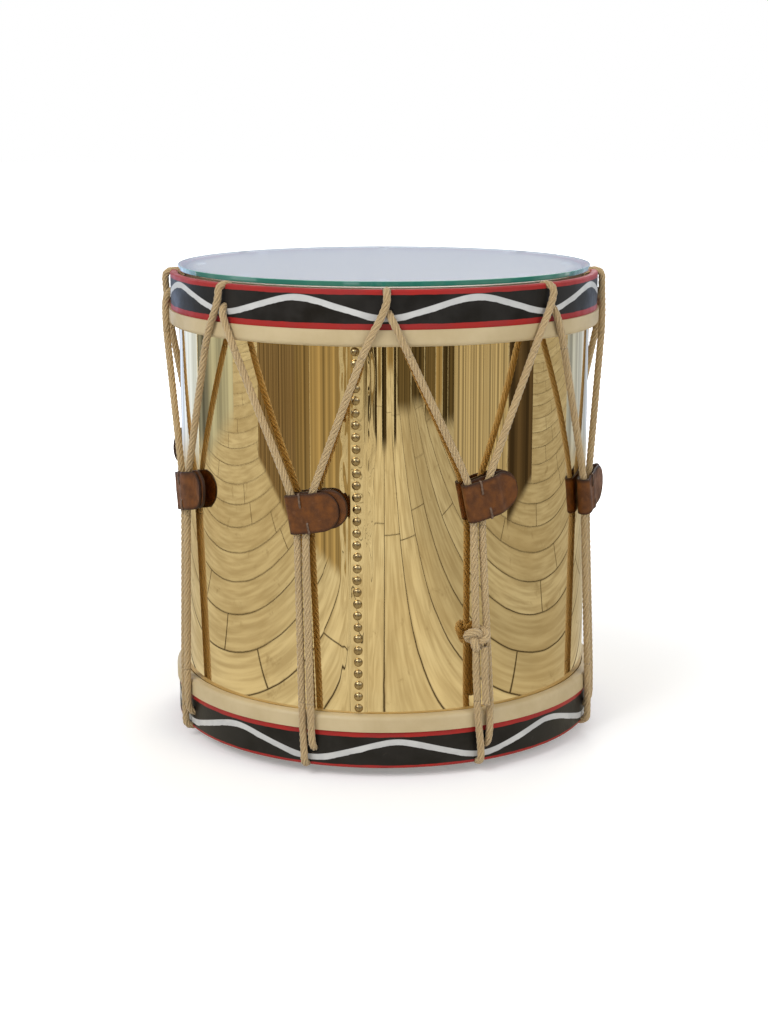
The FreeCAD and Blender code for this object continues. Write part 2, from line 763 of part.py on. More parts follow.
def ear_body(label):
    body = new_body(label)
    section = outline_sketch(body, label + "_section", "XY_Plane", [
        [
            ("0 - ear_fold_reach", "ear_half"),
            ("ear_reach", "ear_half"),
            ("ear_reach", "pocket_half - ear_leaf"),
            ("ear_bend_reach + ear_slope_run + ear_leaf", "pocket_half - ear_leaf"),
            ("ear_bend_reach + ear_leaf", "0 - ear_half"),
            ("0 - ear_fold_reach", "0 - ear_half"),
        ],
        [
            ("0 - ear_fold_reach + ear_leaf", "pocket_half"),
            ("ear_bend_reach + ear_slope_run", "pocket_half"),
            ("ear_bend_reach", "0 - pocket_half"),
            ("0 - ear_fold_reach + ear_leaf", "0 - pocket_half"),
        ],
    ])
    pad = body.newObject("PartDesign::Pad", label + "_strip")
    pad.Profile = section
    pad.Midplane = True
    pad.setExpression("Length", "Sizes.ear_height")
    doc.recompute()

    def upright_at(across, depth):
        return lambda edge, middle: (
            near(middle.x, across) and near(abs(middle.y), depth) and near(middle.z, 0)
        )

    def tip_corner(edge, middle):
        return near(middle.x, size("ear_reach")) and near(abs(middle.z), size("ear_half_height")) and (
            near(edge.BoundBox.XLength, 0))

    round_edges(body, label + "_fold", "ear_fold_round", upright_at(
        -size("ear_fold_reach"), size("ear_half")))
    round_edges(body, label + "_pocket", "pocket_round", upright_at(
        total("0 - ear_fold_reach + ear_leaf"), size("pocket_half")))
    round_edges(body, label + "_tip", "ear_tip_round", tip_corner)

    rounded_strip = body.Tip
    slots = outline_sketch(body, label + "_slots", "XZ_Plane", [
        slot_outline("thong_top_place", "ear_half_height - thong_top_run", "+", "-"),
        slot_outline("thong_bottom_place", "thong_bottom_run - ear_half_height", "-", "+"),
    ])
    pocket = body.newObject("PartDesign::Pocket", label + "_lace_slots")
    pocket.Profile = slots
    pocket.setExpression("Length", formula("ear_half + cut_overrun"))
    # The slots go through the front leaf only, on the -Y side
    pocket.Reversed = True
    doc.recompute()
    slotted = pocket.Shape.Volume < rounded_strip.Shape.Volume
    if not slotted or pocket.Shape.isInside(slot_probe(), 0, True):
        raise RuntimeError(f"{label}: the lace slots miss the front leaf")
    return body


def slot_probe():
    """A point of the front leaf that the upper slot takes away."""
    level = total("ear_half_height - thong_top_run") - size("thong_thickness") / 2
    return Vector(size("thong_top_place"), -(size("pocket_half") + size("ear_leaf") / 2), level)


def slot_outline(place, level, near_side, far_side):
    """A slot for a thong's bar, with clearance all round."""
    left = f"{place} - thong_half_width - thong_clearance"
    right = f"{place} + thong_half_width + thong_clearance"
    close = f"{level} {near_side} thong_clearance"
    far = f"{level} {far_side} thong_thickness {far_side} thong_clearance"
    return [(left, close), (right, close), (right, far), (left, far)]


def thong_body(label):
    """Two flat rings, one round the front leaf's upper edge and one round its lower edge."""
    rings = []
    for part, place, run, sign in (
        ("upper", "thong_top_place", "thong_top_run", 1),
        ("lower", "thong_bottom_place", "thong_bottom_run", -1),
    ):
        boxes = []
        for kind, wall in (("outside", "thong_thickness"), ("inside", None)):
            grow = f" + {wall}" if wall else ""
            overrun = "" if wall else " + cut_overrun"
            box = doc.addObject("Part::Box", f"{label}_{part}_{kind}")
            box.setExpression("Length", formula(f"thong_width{overrun}{overrun}"))
            box.setExpression("Width", formula(f"ear_leaf + thong_clearance + thong_clearance{grow}{grow}"))
            box.setExpression("Height", formula(f"{run} + thong_clearance{grow}{grow}"))
            left = total(f"{place} - thong_half_width") - (0.0 if wall else size("cut_overrun"))
            front = -total(f"ear_half + thong_clearance{grow}")
            run_start = sign * total(f"ear_half_height - {run}")
            low = run_start if sign > 0 else run_start - total(f"{run} + thong_clearance")
            low -= size(wall) if wall else 0.0
            box.Placement = Placement(Vector(left, front, low), Rotation())
            boxes.append(box)
        rings.append(cut(f"{label}_{part}", boxes[0], boxes[1]))
    pair = doc.addObject("Part::Compound", label)
    pair.Label = label
    pair.Links = rings
    doc.recompute()
    return pair


for ear in ears:
    seat = Placement(
        on_drum(size("ear_radius"), ear_azimuth(ear), ear_level(ear)),
        Rotation(Vector(0, 0, 1), ear_azimuth(ear)) * Rotation(Vector(0, 1, 0), -EAR_TILTS[ear - 1]),
    )
    for feature in (ear_body(f"ear_{ear}"), thong_body(f"ear_thong_{ear}")):
        feature.Placement = seat
        keep(feature)

doc.recompute()
failed = [item.Label for item in doc.Objects if {"Invalid", "Error"} & set(item.State)]
broken = [label for label, item in parts.items() if item.Shape.isNull() or not item.Shape.isValid()]
if failed or broken:
    raise RuntimeError(f"failed objects {failed}, broken shapes {broken}")

os.makedirs("parts", exist_ok=True)
for label, item in parts.items():
    item.Shape.exportStep(f"parts/{label}.step")
print(f"{len(parts)} sub-parts written")
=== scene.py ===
# Drum side table, dressed: brass sheet, painted hoops, skins, laid rope, leather ears and glass
# Metres in the frame's axes: +Z up, the front towards -Y; azimuths are degrees from the front towards +X

import json
import math
import random

import bmesh
import bpy
import numpy as np
from mathutils import Matrix, Vector, noise


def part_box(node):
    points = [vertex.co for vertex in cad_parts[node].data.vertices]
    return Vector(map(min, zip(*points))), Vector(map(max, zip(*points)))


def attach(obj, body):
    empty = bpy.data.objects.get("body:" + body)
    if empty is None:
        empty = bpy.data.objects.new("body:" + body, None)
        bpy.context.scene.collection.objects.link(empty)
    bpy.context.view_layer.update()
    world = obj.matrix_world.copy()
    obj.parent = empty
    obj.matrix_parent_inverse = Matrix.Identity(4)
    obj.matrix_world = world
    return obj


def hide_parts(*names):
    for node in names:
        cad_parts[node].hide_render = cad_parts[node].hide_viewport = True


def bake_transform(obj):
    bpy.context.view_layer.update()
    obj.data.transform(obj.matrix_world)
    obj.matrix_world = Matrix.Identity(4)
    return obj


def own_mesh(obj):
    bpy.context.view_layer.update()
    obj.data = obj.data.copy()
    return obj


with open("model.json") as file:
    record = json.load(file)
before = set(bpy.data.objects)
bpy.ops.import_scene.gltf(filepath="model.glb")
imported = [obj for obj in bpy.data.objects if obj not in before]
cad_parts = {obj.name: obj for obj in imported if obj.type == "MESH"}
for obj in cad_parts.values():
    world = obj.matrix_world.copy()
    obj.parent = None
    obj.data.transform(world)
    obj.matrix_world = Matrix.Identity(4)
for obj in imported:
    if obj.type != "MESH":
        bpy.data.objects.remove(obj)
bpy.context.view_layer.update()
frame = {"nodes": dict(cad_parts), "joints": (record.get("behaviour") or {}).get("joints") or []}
scene = bpy.context.scene
draw = random.Random(7)

# Levels and radii, read from the frame
GLASS_LOW, GLASS_HIGH = (corner.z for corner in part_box("glass_top"))
GLASS_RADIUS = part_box("glass_top")[1].x
TOP_SEAT, TOP_RIM = (corner.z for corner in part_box("top_counter_hoop"))
BOTTOM_RIM, BOTTOM_SEAT = (corner.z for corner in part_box("bottom_counter_hoop"))
TOP_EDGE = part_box("top_head")[0].z
BOTTOM_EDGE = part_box("bottom_head")[1].z
SHELL_LOW, SHELL_HIGH = (corner.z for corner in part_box("brass_shell"))

# Sizes repeated from the solids
SHELL_RADIUS = 0.239
BRASS_THICKNESS = 0.001
LAP_WIDTH = 0.016
LAP_THICKNESS = 0.0006
FLESH_RADIUS = 0.250
FLESH_ROUND = 0.005
FLESH_INNER_RADIUS = 0.2397
SKIN_THICKNESS = 0.0008
HEAD_RADIUS = 0.2293
ROPE_DIAMETER = 0.0085
ROPE_OUTSIDE_RADIUS = 0.25475
ROPE_INSIDE_RADIUS = 0.2349
ROPE_EDGE_SINK = 0.00125
ROPE_EDGE_DROP = 0.002
ROPE_JOINT_RUN = 0.014
EAR_MOUTH_RUN = 0.006
TOP_HOLE_DEPTH = 0.024
BOTTOM_HOLE_DEPTH = 0.020
HOLE_SIDE_SHIFT = 0.002
PAIR_SPACING = 0.0094
KNOTTED_SPACING = 0.0155
EAR_COUNT = 8
EARS = range(1, EAR_COUNT + 1)
EAR_STEP = 360.0 / EAR_COUNT
TOP_TWIST = 0.7
EAR_TWIST = 1.5
BOTTOM_TWIST = 3.4
KNOTTED_EAR = EAR_COUNT // 4
EAR_LEVEL_SHARES = (0.552, 0.585, 0.535, 0.56, 0.545, 0.57, 0.59, 0.548)
EAR_TILTS = (9.0, 12.5, 12.0, 10.0, 9.5, 11.0, 10.5, 9.5)
EAR_RADIUS = 0.24795
EAR_HEIGHT = 0.043
EAR_SPREAD = 0.024
KNOT_RUN = 0.087
KNOT_HEIGHT = 0.020
TAIL_LENGTH = 0.066


# Nodes

class Flow:
    """A node's output, on which plain arithmetic adds further nodes."""

    def __init__(self, nodes, socket):
        self.nodes = nodes
        self.socket = socket

    def calc(self, operation, *others):
        return self.nodes.add("ShaderNodeMath", dict(enumerate((self, *others))), operation=operation)

    def __add__(self, other):
        return self.calc("ADD", other)

    def __sub__(self, other):
        return self.calc("SUBTRACT", other)

    def __rsub__(self, other):
        return self.nodes.add("ShaderNodeMath", {0: other, 1: self}, operation="SUBTRACT")

    def __mul__(self, other):
        return self.calc("MULTIPLY", other)

    def __truediv__(self, other):
        return self.calc("DIVIDE", other)

    def step(self, low, high, start=0.0, end=1.0):
        """Runs softly from start to end while the value goes from low to high."""
        return self.nodes.add("ShaderNodeMapRange", {
            "Value": self, "From Min": low, "From Max": high, "To Min": start, "To Max": end,
        }, interpolation_type="SMOOTHSTEP")

    def between(self, start, end):
        """The same for a mask, which goes from 0 to 1."""
        return self.step(0.0, 1.0, start, end)

    def mix(self, first, second):
        """A colour that is the first one at 0 and the second at 1."""
        return self.nodes.add("ShaderNodeMix", {0: self, 6: first, 7: second}, output=2, data_type="RGBA")


class Nodes:
    """A node tree under way."""

    def __init__(self, tree):
        self.tree = tree

    def add(self, kind, inputs=None, output=0, **settings):
        """One output of a new node; an input is a value, a colour or another node's output."""
        node = self.tree.nodes.new(kind)
        for name, value in settings.items():
            setattr(node, name, value)
        for key, value in (inputs or {}).items():
            self.feed(node.inputs[key], value)
        return Flow(self, node.outputs[output])

    def feed(self, socket, value):
        if isinstance(value, Flow):
            self.tree.links.new(value.socket, socket)
        else:
            socket.default_value = (*value, 1.0) if socket.type == "RGBA" else value

    def outputs(self, kind, inputs=None):
        """Every output of a new node, by its name."""
        node = self.add(kind, inputs).socket.node
        return {socket.name: Flow(self, socket) for socket in node.outputs}

    def split(self, vector):
        return self.outputs("ShaderNodeSeparateXYZ", {0: vector}).values()

    def place(self):
        """The point in the object's own frame."""
        return self.add("ShaderNodeTexCoord", output="Object")

    def clouds(self, place, scale, detail, **inputs):
        return self.add("ShaderNodeTexNoise", {"Vector": place, "Scale": scale, "Detail": detail, **inputs})


def azimuth_of(x, y):
    """The azimuth in radians, 0 at the front."""
    return x.calc("ARCTAN2", y * -1.0)


def radius_of(x, y):
    return (x * x + y * y).calc("SQRT")


# Effects that several finishes share

class Effect(Nodes):
    """A node group with named inputs and one output."""

    def __init__(self, name, **inputs):
        super().__init__(bpy.data.node_groups.new(name, "ShaderNodeTree"))
        for socket, value in inputs.items():
            made = self.tree.interface.new_socket(socket, in_out="INPUT", socket_type="NodeSocketFloat")
            made.default_value = value
        start = self.tree.nodes.new("NodeGroupInput").outputs
        self.given = {socket: Flow(self, start[socket]) for socket in inputs}

    def put_out(self, name, flow):
        self.tree.interface.new_socket(name, in_out="OUTPUT", socket_type="NodeSocketFloat")
        self.feed(self.tree.nodes.new("NodeGroupOutput").inputs[name], flow)
        return self


PORE_SCALE_SHARE = 0.4
RUB_START = 0.85
RUB_EDGE = 0.12


def make_mottling():
    """Soft patches: a mask from 0 to 1."""
    group = Effect("mottling", Scale=20.0, Spread=0.2)
    patches = group.clouds(group.place(), group.given["Scale"], detail=5.0, Roughness=0.6)
    spread = group.given["Spread"]
    return group.put_out("Mask", patches.step(0.5 - spread, spread + 0.5))


def make_fine_grain():
    """Small pebbles and pores as a height."""
    group = Effect("fine_grain", Scale=600.0)
    place = group.place()
    scale = group.given["Scale"]
    pebbles = group.add("ShaderNodeTexVoronoi", {"Vector": place, "Scale": scale}, output="Distance")
    return group.put_out("Height", pebbles + group.clouds(place, scale * PORE_SCALE_SHARE, detail=6.0))


def make_scuffs():
    """Sparse rubbed spots and scratches: a mask from 0 to 1."""
    group = Effect("scuffs", Scale=60.0, Share=0.3)
    rubs = group.clouds(group.place(), group.given["Scale"], detail=8.0, Roughness=0.75, Distortion=0.6)
    start = RUB_START - group.given["Share"] * 0.5
    return group.put_out("Mask", rubs.step(start, start + RUB_EDGE))


MOTTLING = make_mottling()
FINE_GRAIN = make_fine_grain()
SCUFFS = make_scuffs()


# Finishes

class Finish(Nodes):
    """A material under way, with plain values set on its shader's own sockets."""

    def __init__(self, name, **values):
        self.material = bpy.data.materials.new(name)
        self.material.use_nodes = True
        super().__init__(self.material.node_tree)
        self.shader = self.tree.nodes["Principled BSDF"].inputs
        for key, value in values.items():
            self.feed(self.shader[key.replace("_", " ").title().replace("Ior", "IOR")], value)

    def effect(self, shared, **values):
        """A shared effect with its own values here."""
        return self.add("ShaderNodeGroup", values, node_tree=shared.tree)

    def paint(self, colour, roughness, height=None, strength=0.0, depth=0.0):
        """The finished material; a height becomes a bump of that strength and depth."""
        self.feed(self.shader["Base Color"], colour)
        self.feed(self.shader["Roughness"], roughness)
        if height is not None:
            bump = {"Strength": strength, "Distance": depth, "Height": height}
            self.feed(self.shader["Normal"], self.add("ShaderNodeBump", bump))
        return self.material

    def glow(self, colour, strength=1.0, solid=None):
        """A material that only glows, and is clear where solid falls to 0."""
        shine = self.add("ShaderNodeEmission", {"Color": colour, "Strength": strength})
        if solid is not None:
            clear = self.add("ShaderNodeBsdfTransparent")
            shine = self.add("ShaderNodeMixShader", {0: solid, 1: clear, 2: shine})
        self.feed(self.tree.nodes["Material Output"].inputs["Surface"], shine)
        return self.material


BRASS_TONES = (0.87, 0.71, 0.41), (0.83, 0.65, 0.35)
BRASS_ROUGHNESS = 0.012, 0.03
HAZE_ROUGHNESS = 0.06


def brass_finish():
    brass = Finish("polished_brass", metallic=1.0)
    patches = brass.effect(MOTTLING, Scale=9.0, Spread=0.25)
    haze = brass.effect(SCUFFS, Scale=35.0, Share=0.35)
    roughness = patches.between(*BRASS_ROUGHNESS) + haze * HAZE_ROUGHNESS
    return brass.paint(patches.mix(*BRASS_TONES), roughness)


RED_TONES = (0.36, 0.018, 0.014), (0.29, 0.019, 0.018)
BLACK_TONES = (0.007, 0.006, 0.005), (0.016, 0.014, 0.012)
WHITE_TONES = (0.58, 0.58, 0.56), (0.47, 0.47, 0.46)
RUBBED_PAINT = (0.16, 0.13, 0.11)
RUBBED_SHARE = 0.25
PAINT_ROUGHNESS = 0.32, 0.5
WAVE_AMPLITUDE = 0.0100
WAVE_STRAIGHTENING = 0.04
WAVE_HALF_STROKE = 0.0034
STROKE_WANDER_SHARE = 0.8
BRUSH_WANDER = 0.0007
PAINT_EDGE = 0.0003


def hoop_paint(name, black_low, black_high, wave_level, trough_azimuth):
    """Red edges, a black band, and a white wave whose troughs lie under the rope."""
    paint = Finish(name, specular_ior_level=0.24)
    x, y, z = paint.split(paint.place())
    shift = (paint.effect(MOTTLING, Scale=45.0, Spread=0.5) - 0.5) * (2.0 * BRUSH_WANDER)
    level = z + shift
    above = level.step(black_low - PAINT_EDGE, black_low + PAINT_EDGE)
    below = level.step(black_high + PAINT_EDGE, black_high - PAINT_EDGE)

    turns = (azimuth_of(x, y) - math.radians(trough_azimuth)) * float(EAR_COUNT)
    straighter = (turns * 3.0).calc("COSINE") * WAVE_STRAIGHTENING
    swing = (turns.calc("COSINE") + straighter) * -WAVE_AMPLITUDE
    off_wave = (level - (swing + wave_level)).calc("ABSOLUTE")
    stroke = shift * STROKE_WANDER_SHARE + WAVE_HALF_STROKE
    wave = off_wave.step(stroke + PAINT_EDGE, stroke - PAINT_EDGE)

    scuffs = paint.effect(SCUFFS, Scale=55.0, Share=0.45)
    patches = paint.effect(MOTTLING, Scale=26.0, Spread=0.2)
    band = wave.mix(patches.mix(*BLACK_TONES), patches.mix(*WHITE_TONES))
    colour = (above * below).mix(patches.mix(*RED_TONES), band)
    colour = (scuffs * RUBBED_SHARE).mix(colour, RUBBED_PAINT)
    grain = paint.effect(FINE_GRAIN, Scale=260.0)
    return paint.paint(colour, patches.between(*PAINT_ROUGHNESS), grain, strength=0.12, depth=0.0004)


CREAM_TONES = (0.55, 0.44, 0.255), (0.46, 0.355, 0.19)
SPOTTED_CREAM = (0.33, 0.22, 0.10)
SPOT_SHARE = 0.35
PALE_TONES = (0.54, 0.48, 0.37), (0.48, 0.415, 0.31)
# Painted shade: the dark ring round the head's edge, under the glass's rim
PAINTED_RIM_SHADE = (0.08, 0.055, 0.03)
PAINTED_RIM_SHADE_SHARE = 0.8
SKIN_ROUGHNESS = 0.42, 0.58
HEAD_EDGE = 0.004
RIM_SHADE_RUN = 0.014


def skin_finish():
    """Cream skin, paler where it lies flat under the glass, with shade painted as a dark ring round the
    head's edge under the glass's rim.
    """
    skin = Finish("vellum", specular_ior_level=0.4)
    x, y, _ = skin.split(skin.place())
    patches = skin.effect(MOTTLING, Scale=14.0, Spread=0.22)
    spots = skin.effect(SCUFFS, Scale=40.0, Share=0.35)
    cream = (spots * SPOT_SHARE).mix(patches.mix(*CREAM_TONES), SPOTTED_CREAM)
    radius = radius_of(x, y)
    flat = radius.step(HEAD_RADIUS, HEAD_RADIUS - HEAD_EDGE)
    # A ring of painted shade just inside the head's edge, where the glass's rim would shade it
    rim_shade = radius.step(HEAD_RADIUS - RIM_SHADE_RUN, HEAD_RADIUS - HEAD_EDGE)
    rim_shade = rim_shade * radius.step(HEAD_RADIUS + HEAD_EDGE, HEAD_RADIUS)
    colour = (rim_shade * PAINTED_RIM_SHADE_SHARE).mix(flat.mix(cream, patches.mix(*PALE_TONES)), PAINTED_RIM_SHADE)
    grain = skin.effect(FINE_GRAIN, Scale=420.0)
    return skin.paint(colour, patches.between(*SKIN_ROUGHNESS), grain, strength=0.12, depth=0.0004)


ROPE_TONES = (0.46, 0.325, 0.155), (0.38, 0.26, 0.118)
PALE_FIBRE = (0.62, 0.465, 0.25)
# Painted shade in the grooves between the yarns
PAINTED_GROOVE_SHADE = (0.17, 0.105, 0.05)
PAINTED_GROOVE_SHADE_SHARE = 0.4
YARNS_PER_STRAND = 3.0
YARN_LAY = 0.012
YARN_RISE_SHARE = 0.5
YARN_GROOVE = -0.4, -1.0
FIBRES_ROUND = 14.0
FIBRES_ALONG = 160.0
FIBRE_RANGE = 0.2, 0.8
PALE_FIBRE_RANGE = 0.4, 0.75
FIBRE_ROUGHNESS = 0.95, 0.75


def rope_finish():
    """Twisted yarns along each strand, with paler and darker fibres, and shade painted dark into the grooves
    between the yarns.
    """
    rope = Finish("laid_rope", sheen_weight=0.25, sheen_roughness=0.5)
    turn, run, _ = rope.split(rope.add("ShaderNodeUVMap", uv_map="lay"))
    yarns = ((turn * YARNS_PER_STRAND + run / YARN_LAY) * (2.0 * math.pi)).calc("SINE")
    along = rope.add("ShaderNodeCombineXYZ", {0: turn * FIBRES_ROUND, 1: run * FIBRES_ALONG})
    fibres = rope.clouds(along, scale=3.0, detail=6.0)
    patches = rope.effect(MOTTLING, Scale=30.0, Spread=0.25)
    colour = fibres.step(*PALE_FIBRE_RANGE).mix(patches.mix(*ROPE_TONES), PALE_FIBRE)
    # Painted shade: darker where the grooves between the yarns lie
    colour = yarns.step(*YARN_GROOVE, 0.0, PAINTED_GROOVE_SHADE_SHARE).mix(colour, PAINTED_GROOVE_SHADE)
    roughness = fibres.step(*FIBRE_RANGE, *FIBRE_ROUGHNESS)
    return rope.paint(colour, roughness, yarns * YARN_RISE_SHARE + fibres, strength=0.5, depth=0.0005)


LEATHER_TONES = (0.158, 0.053, 0.011), (0.078, 0.027, 0.007)
RUBBED_LEATHER = (0.24, 0.10, 0.04)
RUBBED_LEATHER_SHARE = 0.3
CUT_LEATHER = (0.016, 0.008, 0.006)
CUT_SHARE = 0.85
LEATHER_ROUGHNESS = 0.36, 0.52


def ear_finish():
    """Waxed reddish leather, dark at its cut edges."""
    leather = Finish("ear_leather", specular_ior_level=0.22)
    edge = leather.add("ShaderNodeAttribute", output="Fac", attribute_name="cut_edge")
    patches = leather.effect(MOTTLING, Scale=85.0, Spread=0.22)
    scuffs = leather.effect(SCUFFS, Scale=120.0, Share=0.6)
    colour = (scuffs * RUBBED_LEATHER_SHARE).mix(patches.mix(*LEATHER_TONES), RUBBED_LEATHER)
    colour = (edge * CUT_SHARE).mix(colour, CUT_LEATHER)
    grain = leather.effect(FINE_GRAIN, Scale=700.0)
    return leather.paint(colour, patches.between(*LEATHER_ROUGHNESS), grain, strength=0.25, depth=0.0004)


GLASS_TONES = (0.96, 0.98, 0.975), (0.94, 0.97, 0.96)
GLASS_ROUGHNESS = 0.0, 0.02
DEEP_GREENS = (0.014, 0.155, 0.110), (0.024, 0.185, 0.135)
# Painted highlight: the paler green along the upper arris
ARRIS_HIGHLIGHT_GREEN = (0.20, 0.42, 0.36)
GREEN_START = 0.0001
GREEN_FULL = 0.0009
GLASS_EDGE_ROUGHNESS = 0.08, 0.16


def clear_glass():
    glass = Finish("clear_glass", transmission_weight=1.0, ior=1.5)
    smears = glass.effect(MOTTLING, Scale=5.0, Spread=0.3)
    return glass.paint(smears.mix(*GLASS_TONES), smears.between(*GLASS_ROUGHNESS))


def glass_edge():
    """The polished edge, deep green because light comes to it through the whole disc, and paler along its
    upper arris as a painted highlight.
    """
    edge = Finish("glass_edge", coat_weight=1.0, coat_roughness=0.04)
    _, _, level = edge.split(edge.place())
    depth = level.step(GLASS_HIGH - GREEN_START, GLASS_HIGH - GREEN_FULL)
    streaks = edge.effect(MOTTLING, Scale=18.0, Spread=0.3)
    # Paler green along the upper arris, a painted highlight
    colour = depth.mix(ARRIS_HIGHLIGHT_GREEN, streaks.mix(*DEEP_GREENS))
    return edge.paint(colour, streaks.between(*GLASS_EDGE_ROUGHNESS))


GRAIN_DRAWN_OUT = (6.0, 6.0, 90.0)
WOOD_ROUGHNESS = 0.55, 0.75


def wood_finish(name, *tones):
    """Bare wood with its grain drawn out along the level."""
    wood = Finish(name, specular_ior_level=0.3)
    drawn = wood.add("ShaderNodeMapping", {"Vector": wood.place(), "Scale": GRAIN_DRAWN_OUT})
    grain = wood.clouds(drawn, scale=4.0, detail=6.0)
    return wood.paint(grain.mix(*tones), grain.between(*WOOD_ROUGHNESS), grain, strength=0.2, depth=0.0005)


def two_tone_finish(name, tones, roughness, patches=150.0, spread=0.2, grain=900.0, bump=0.15, **values):
    """Nails, laces and small parts: two close tones in patches, and a fine grain."""
    finish = Finish(name, **values)
    mask = finish.effect(MOTTLING, Scale=patches, Spread=spread)
    height = finish.effect(FINE_GRAIN, Scale=grain)
    return finish.paint(mask.mix(*tones), mask.between(*roughness), height, strength=bump, depth=0.0003)


# Meshes

def on_drum(radius, azimuth, level):
    angle = math.radians(azimuth)
    return Vector((radius * math.sin(angle), -radius * math.cos(angle), level))


def new_piece(name, vertices, faces, finishes, sharp_angle=None, lays=None):
    """A smooth mesh with its faces turned outwards, and a rope's lay coordinates if it has them."""
    mesh = bpy.data.meshes.new(name)
    mesh.from_pydata([tuple(vertex) for vertex in vertices], [], faces)
    if lays is not None:
        mesh.uv_layers.new(name="lay").data.foreach_set("uv", lays)
    outwards = bmesh.new()
    outwards.from_mesh(mesh)
    bmesh.ops.recalc_face_normals(outwards, faces=outwards.faces)
    outwards.to_mesh(mesh)
    outwards.free()
    mesh.polygons.foreach_set("use_smooth", [True] * len(mesh.polygons))
    if sharp_angle is not None:
        mesh.set_sharp_from_angle(angle=math.radians(sharp_angle))
    for finish in finishes:
        mesh.materials.append(finish)
    piece = bpy.data.objects.new(name, mesh)
    scene.collection.objects.link(piece)
    return piece


def dress(piece, body, node):
    """A piece that rides on a body in place of a plain solid."""
    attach(piece, body)
    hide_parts(node)


def turned_mesh(profile, azimuths, shift=None):
    """Vertices and faces of a closed profile of (radius, level) points turned about the drum's axis."""
    vertices = []
    rings = []
    for radius, level in profile:
        if radius == 0.0:
            rings.append([len(vertices)] * len(azimuths))
            vertices.append((0.0, 0.0, level))
            continue
        rings.append(range(len(vertices), len(vertices) + len(azimuths)))
        for azimuth in azimuths:
            out = radius + (shift(radius, azimuth, level) if shift else 0.0)
            vertices.append(on_drum(out, azimuth, level))
    faces = []
    for lower, upper in zip(rings, rings[1:] + rings[:1]):
        for i in range(len(azimuths)):
            corners = [lower[i - 1], lower[i], upper[i], upper[i - 1]]
            corners = [corner for n, corner in enumerate(corners) if corner not in corners[:n]]
            if len(corners) > 2:
                faces.append(corners)
    return vertices, faces


def tube_faces(rings, sides, start=0, caps=True):
    """Faces between rings of vertices that follow each other, and over both ends."""
    faces = []
    for low in range(start, start + (rings - 1) * sides, sides):
        for side in range(sides):
            after = (side + 1) % sides
            faces.append([low + side, low + after, low + sides + after, low + sides + side])
    if caps:
        for cap in (start, start + (rings - 1) * sides):
            faces.append(list(range(cap, cap + sides)))
    return faces


def even_azimuths(count):
    return [360.0 * i / count for i in range(count)]


ARC_STEPS = 6


def arc(centre_radius, centre_level, size, start, end):
    """Profile points along an arc, from start to end in degrees."""
    points = []
    for i in range(ARC_STEPS + 1):
        angle = math.radians(start + (end - start) * i / ARC_STEPS)
        points.append((centre_radius + size * math.cos(angle), centre_level + size * math.sin(angle)))
    return points


def smooth_line(points, resolution=10):
    """Points along the smooth curve that takes the given ones as its control points."""
    curve = bpy.data.curves.new("route", "CURVE")
    curve.dimensions = "3D"
    curve.resolution_u = resolution
    spline = curve.splines.new("NURBS")
    spline.points.add(len(points) - 1)
    for place, point in zip(spline.points, points):
        place.co = (*point, 1.0)
    spline.order_u = 3
    spline.use_endpoint_u = True
    holder = bpy.data.objects.new("route", curve)
    line = bpy.data.meshes.new_from_object(holder)
    found = np.array([vertex.co[:] for vertex in line.vertices])
    bpy.data.objects.remove(holder)
    bpy.data.curves.remove(curve)
    bpy.data.meshes.remove(line)
    return found


def evenly_along(points, step):
    """The same line at even steps, and the run at each point."""
    runs = np.concatenate([[0.0], np.cumsum(np.linalg.norm(np.diff(points, axis=0), axis=1))])
    count = max(2, round(runs[-1] / step) + 1)
    even = np.linspace(0.0, runs[-1], count)
    return np.stack([np.interp(even, runs, points[:, axis]) for axis in range(3)], axis=1), even


def ramp(value, low, high):
    share = min(1.0, max(0.0, (value - low) / (high - low)))
    return share * share * (3.0 - 2.0 * share)


# Brass sheet, its lap and its nails

SEAM_AZIMUTH = -7.0
SEAM_LEAN = 0.4
LAP_SLOPE = 0.004
LAP_LIP = 0.0005
NAIL_COUNT = 31
NAIL_END_MARGIN = 0.006
NAIL_RADIUS = 0.0048
NAIL_HEIGHT = 0.0036
NAIL_STRAY = 0.1
NAIL_TILT = 4.0
NAIL_WIDTHS = 0.99, 1.06
NAIL_SIDES = 20
NAIL_RINGS = 7
PUCKER_RADIUS = 0.0085
PUCKER_DEPTH = 0.0005
PUCKER_REACH = 3.0
NEAR_SEAM = 4 * PUCKER_RADIUS
BUCKLE_AWAY = 0.0142
BUCKLE_WIDTH = 0.0024
BUCKLE_DEPTH = 0.00045
BUCKLE_WANDER = 0.0022
BUCKLE_LEAST_SHARE = 0.25
BUCKLE_RISE = 0.17, 0.33
RIPPLE_DEPTH = 0.00012
RIPPLES_ROUND = 3.1
RIPPLES_UP = 4.0
# How fast the creases' wander and depth change up the seam, and where in the noise they lie
WANDER_NOISE = 42.0, 5.0, 1.3
DEPTH_NOISE = 26.0, 9.0, 4.1
# Half of the finely cut stretch at the seam, and the steps there and elsewhere, in degrees
FINE_HALF = 9.0
FINE_TURN = 0.25
COARSE_TURN = 1.5
BRASS_ROWS = 170


def nail_places():
    """Azimuth and level of each nail; the row leans a little, as hammered by eye."""
    low = BOTTOM_EDGE + NAIL_END_MARGIN
    high = TOP_EDGE - NAIL_END_MARGIN
    for i in range(NAIL_COUNT):
        share = i / (NAIL_COUNT - 1)
        lean = SEAM_LEAN * (1.0 - 2.0 * share)
        yield SEAM_AZIMUTH + lean + draw.uniform(-NAIL_STRAY, NAIL_STRAY), low + (high - low) * share


NAILS = list(nail_places())


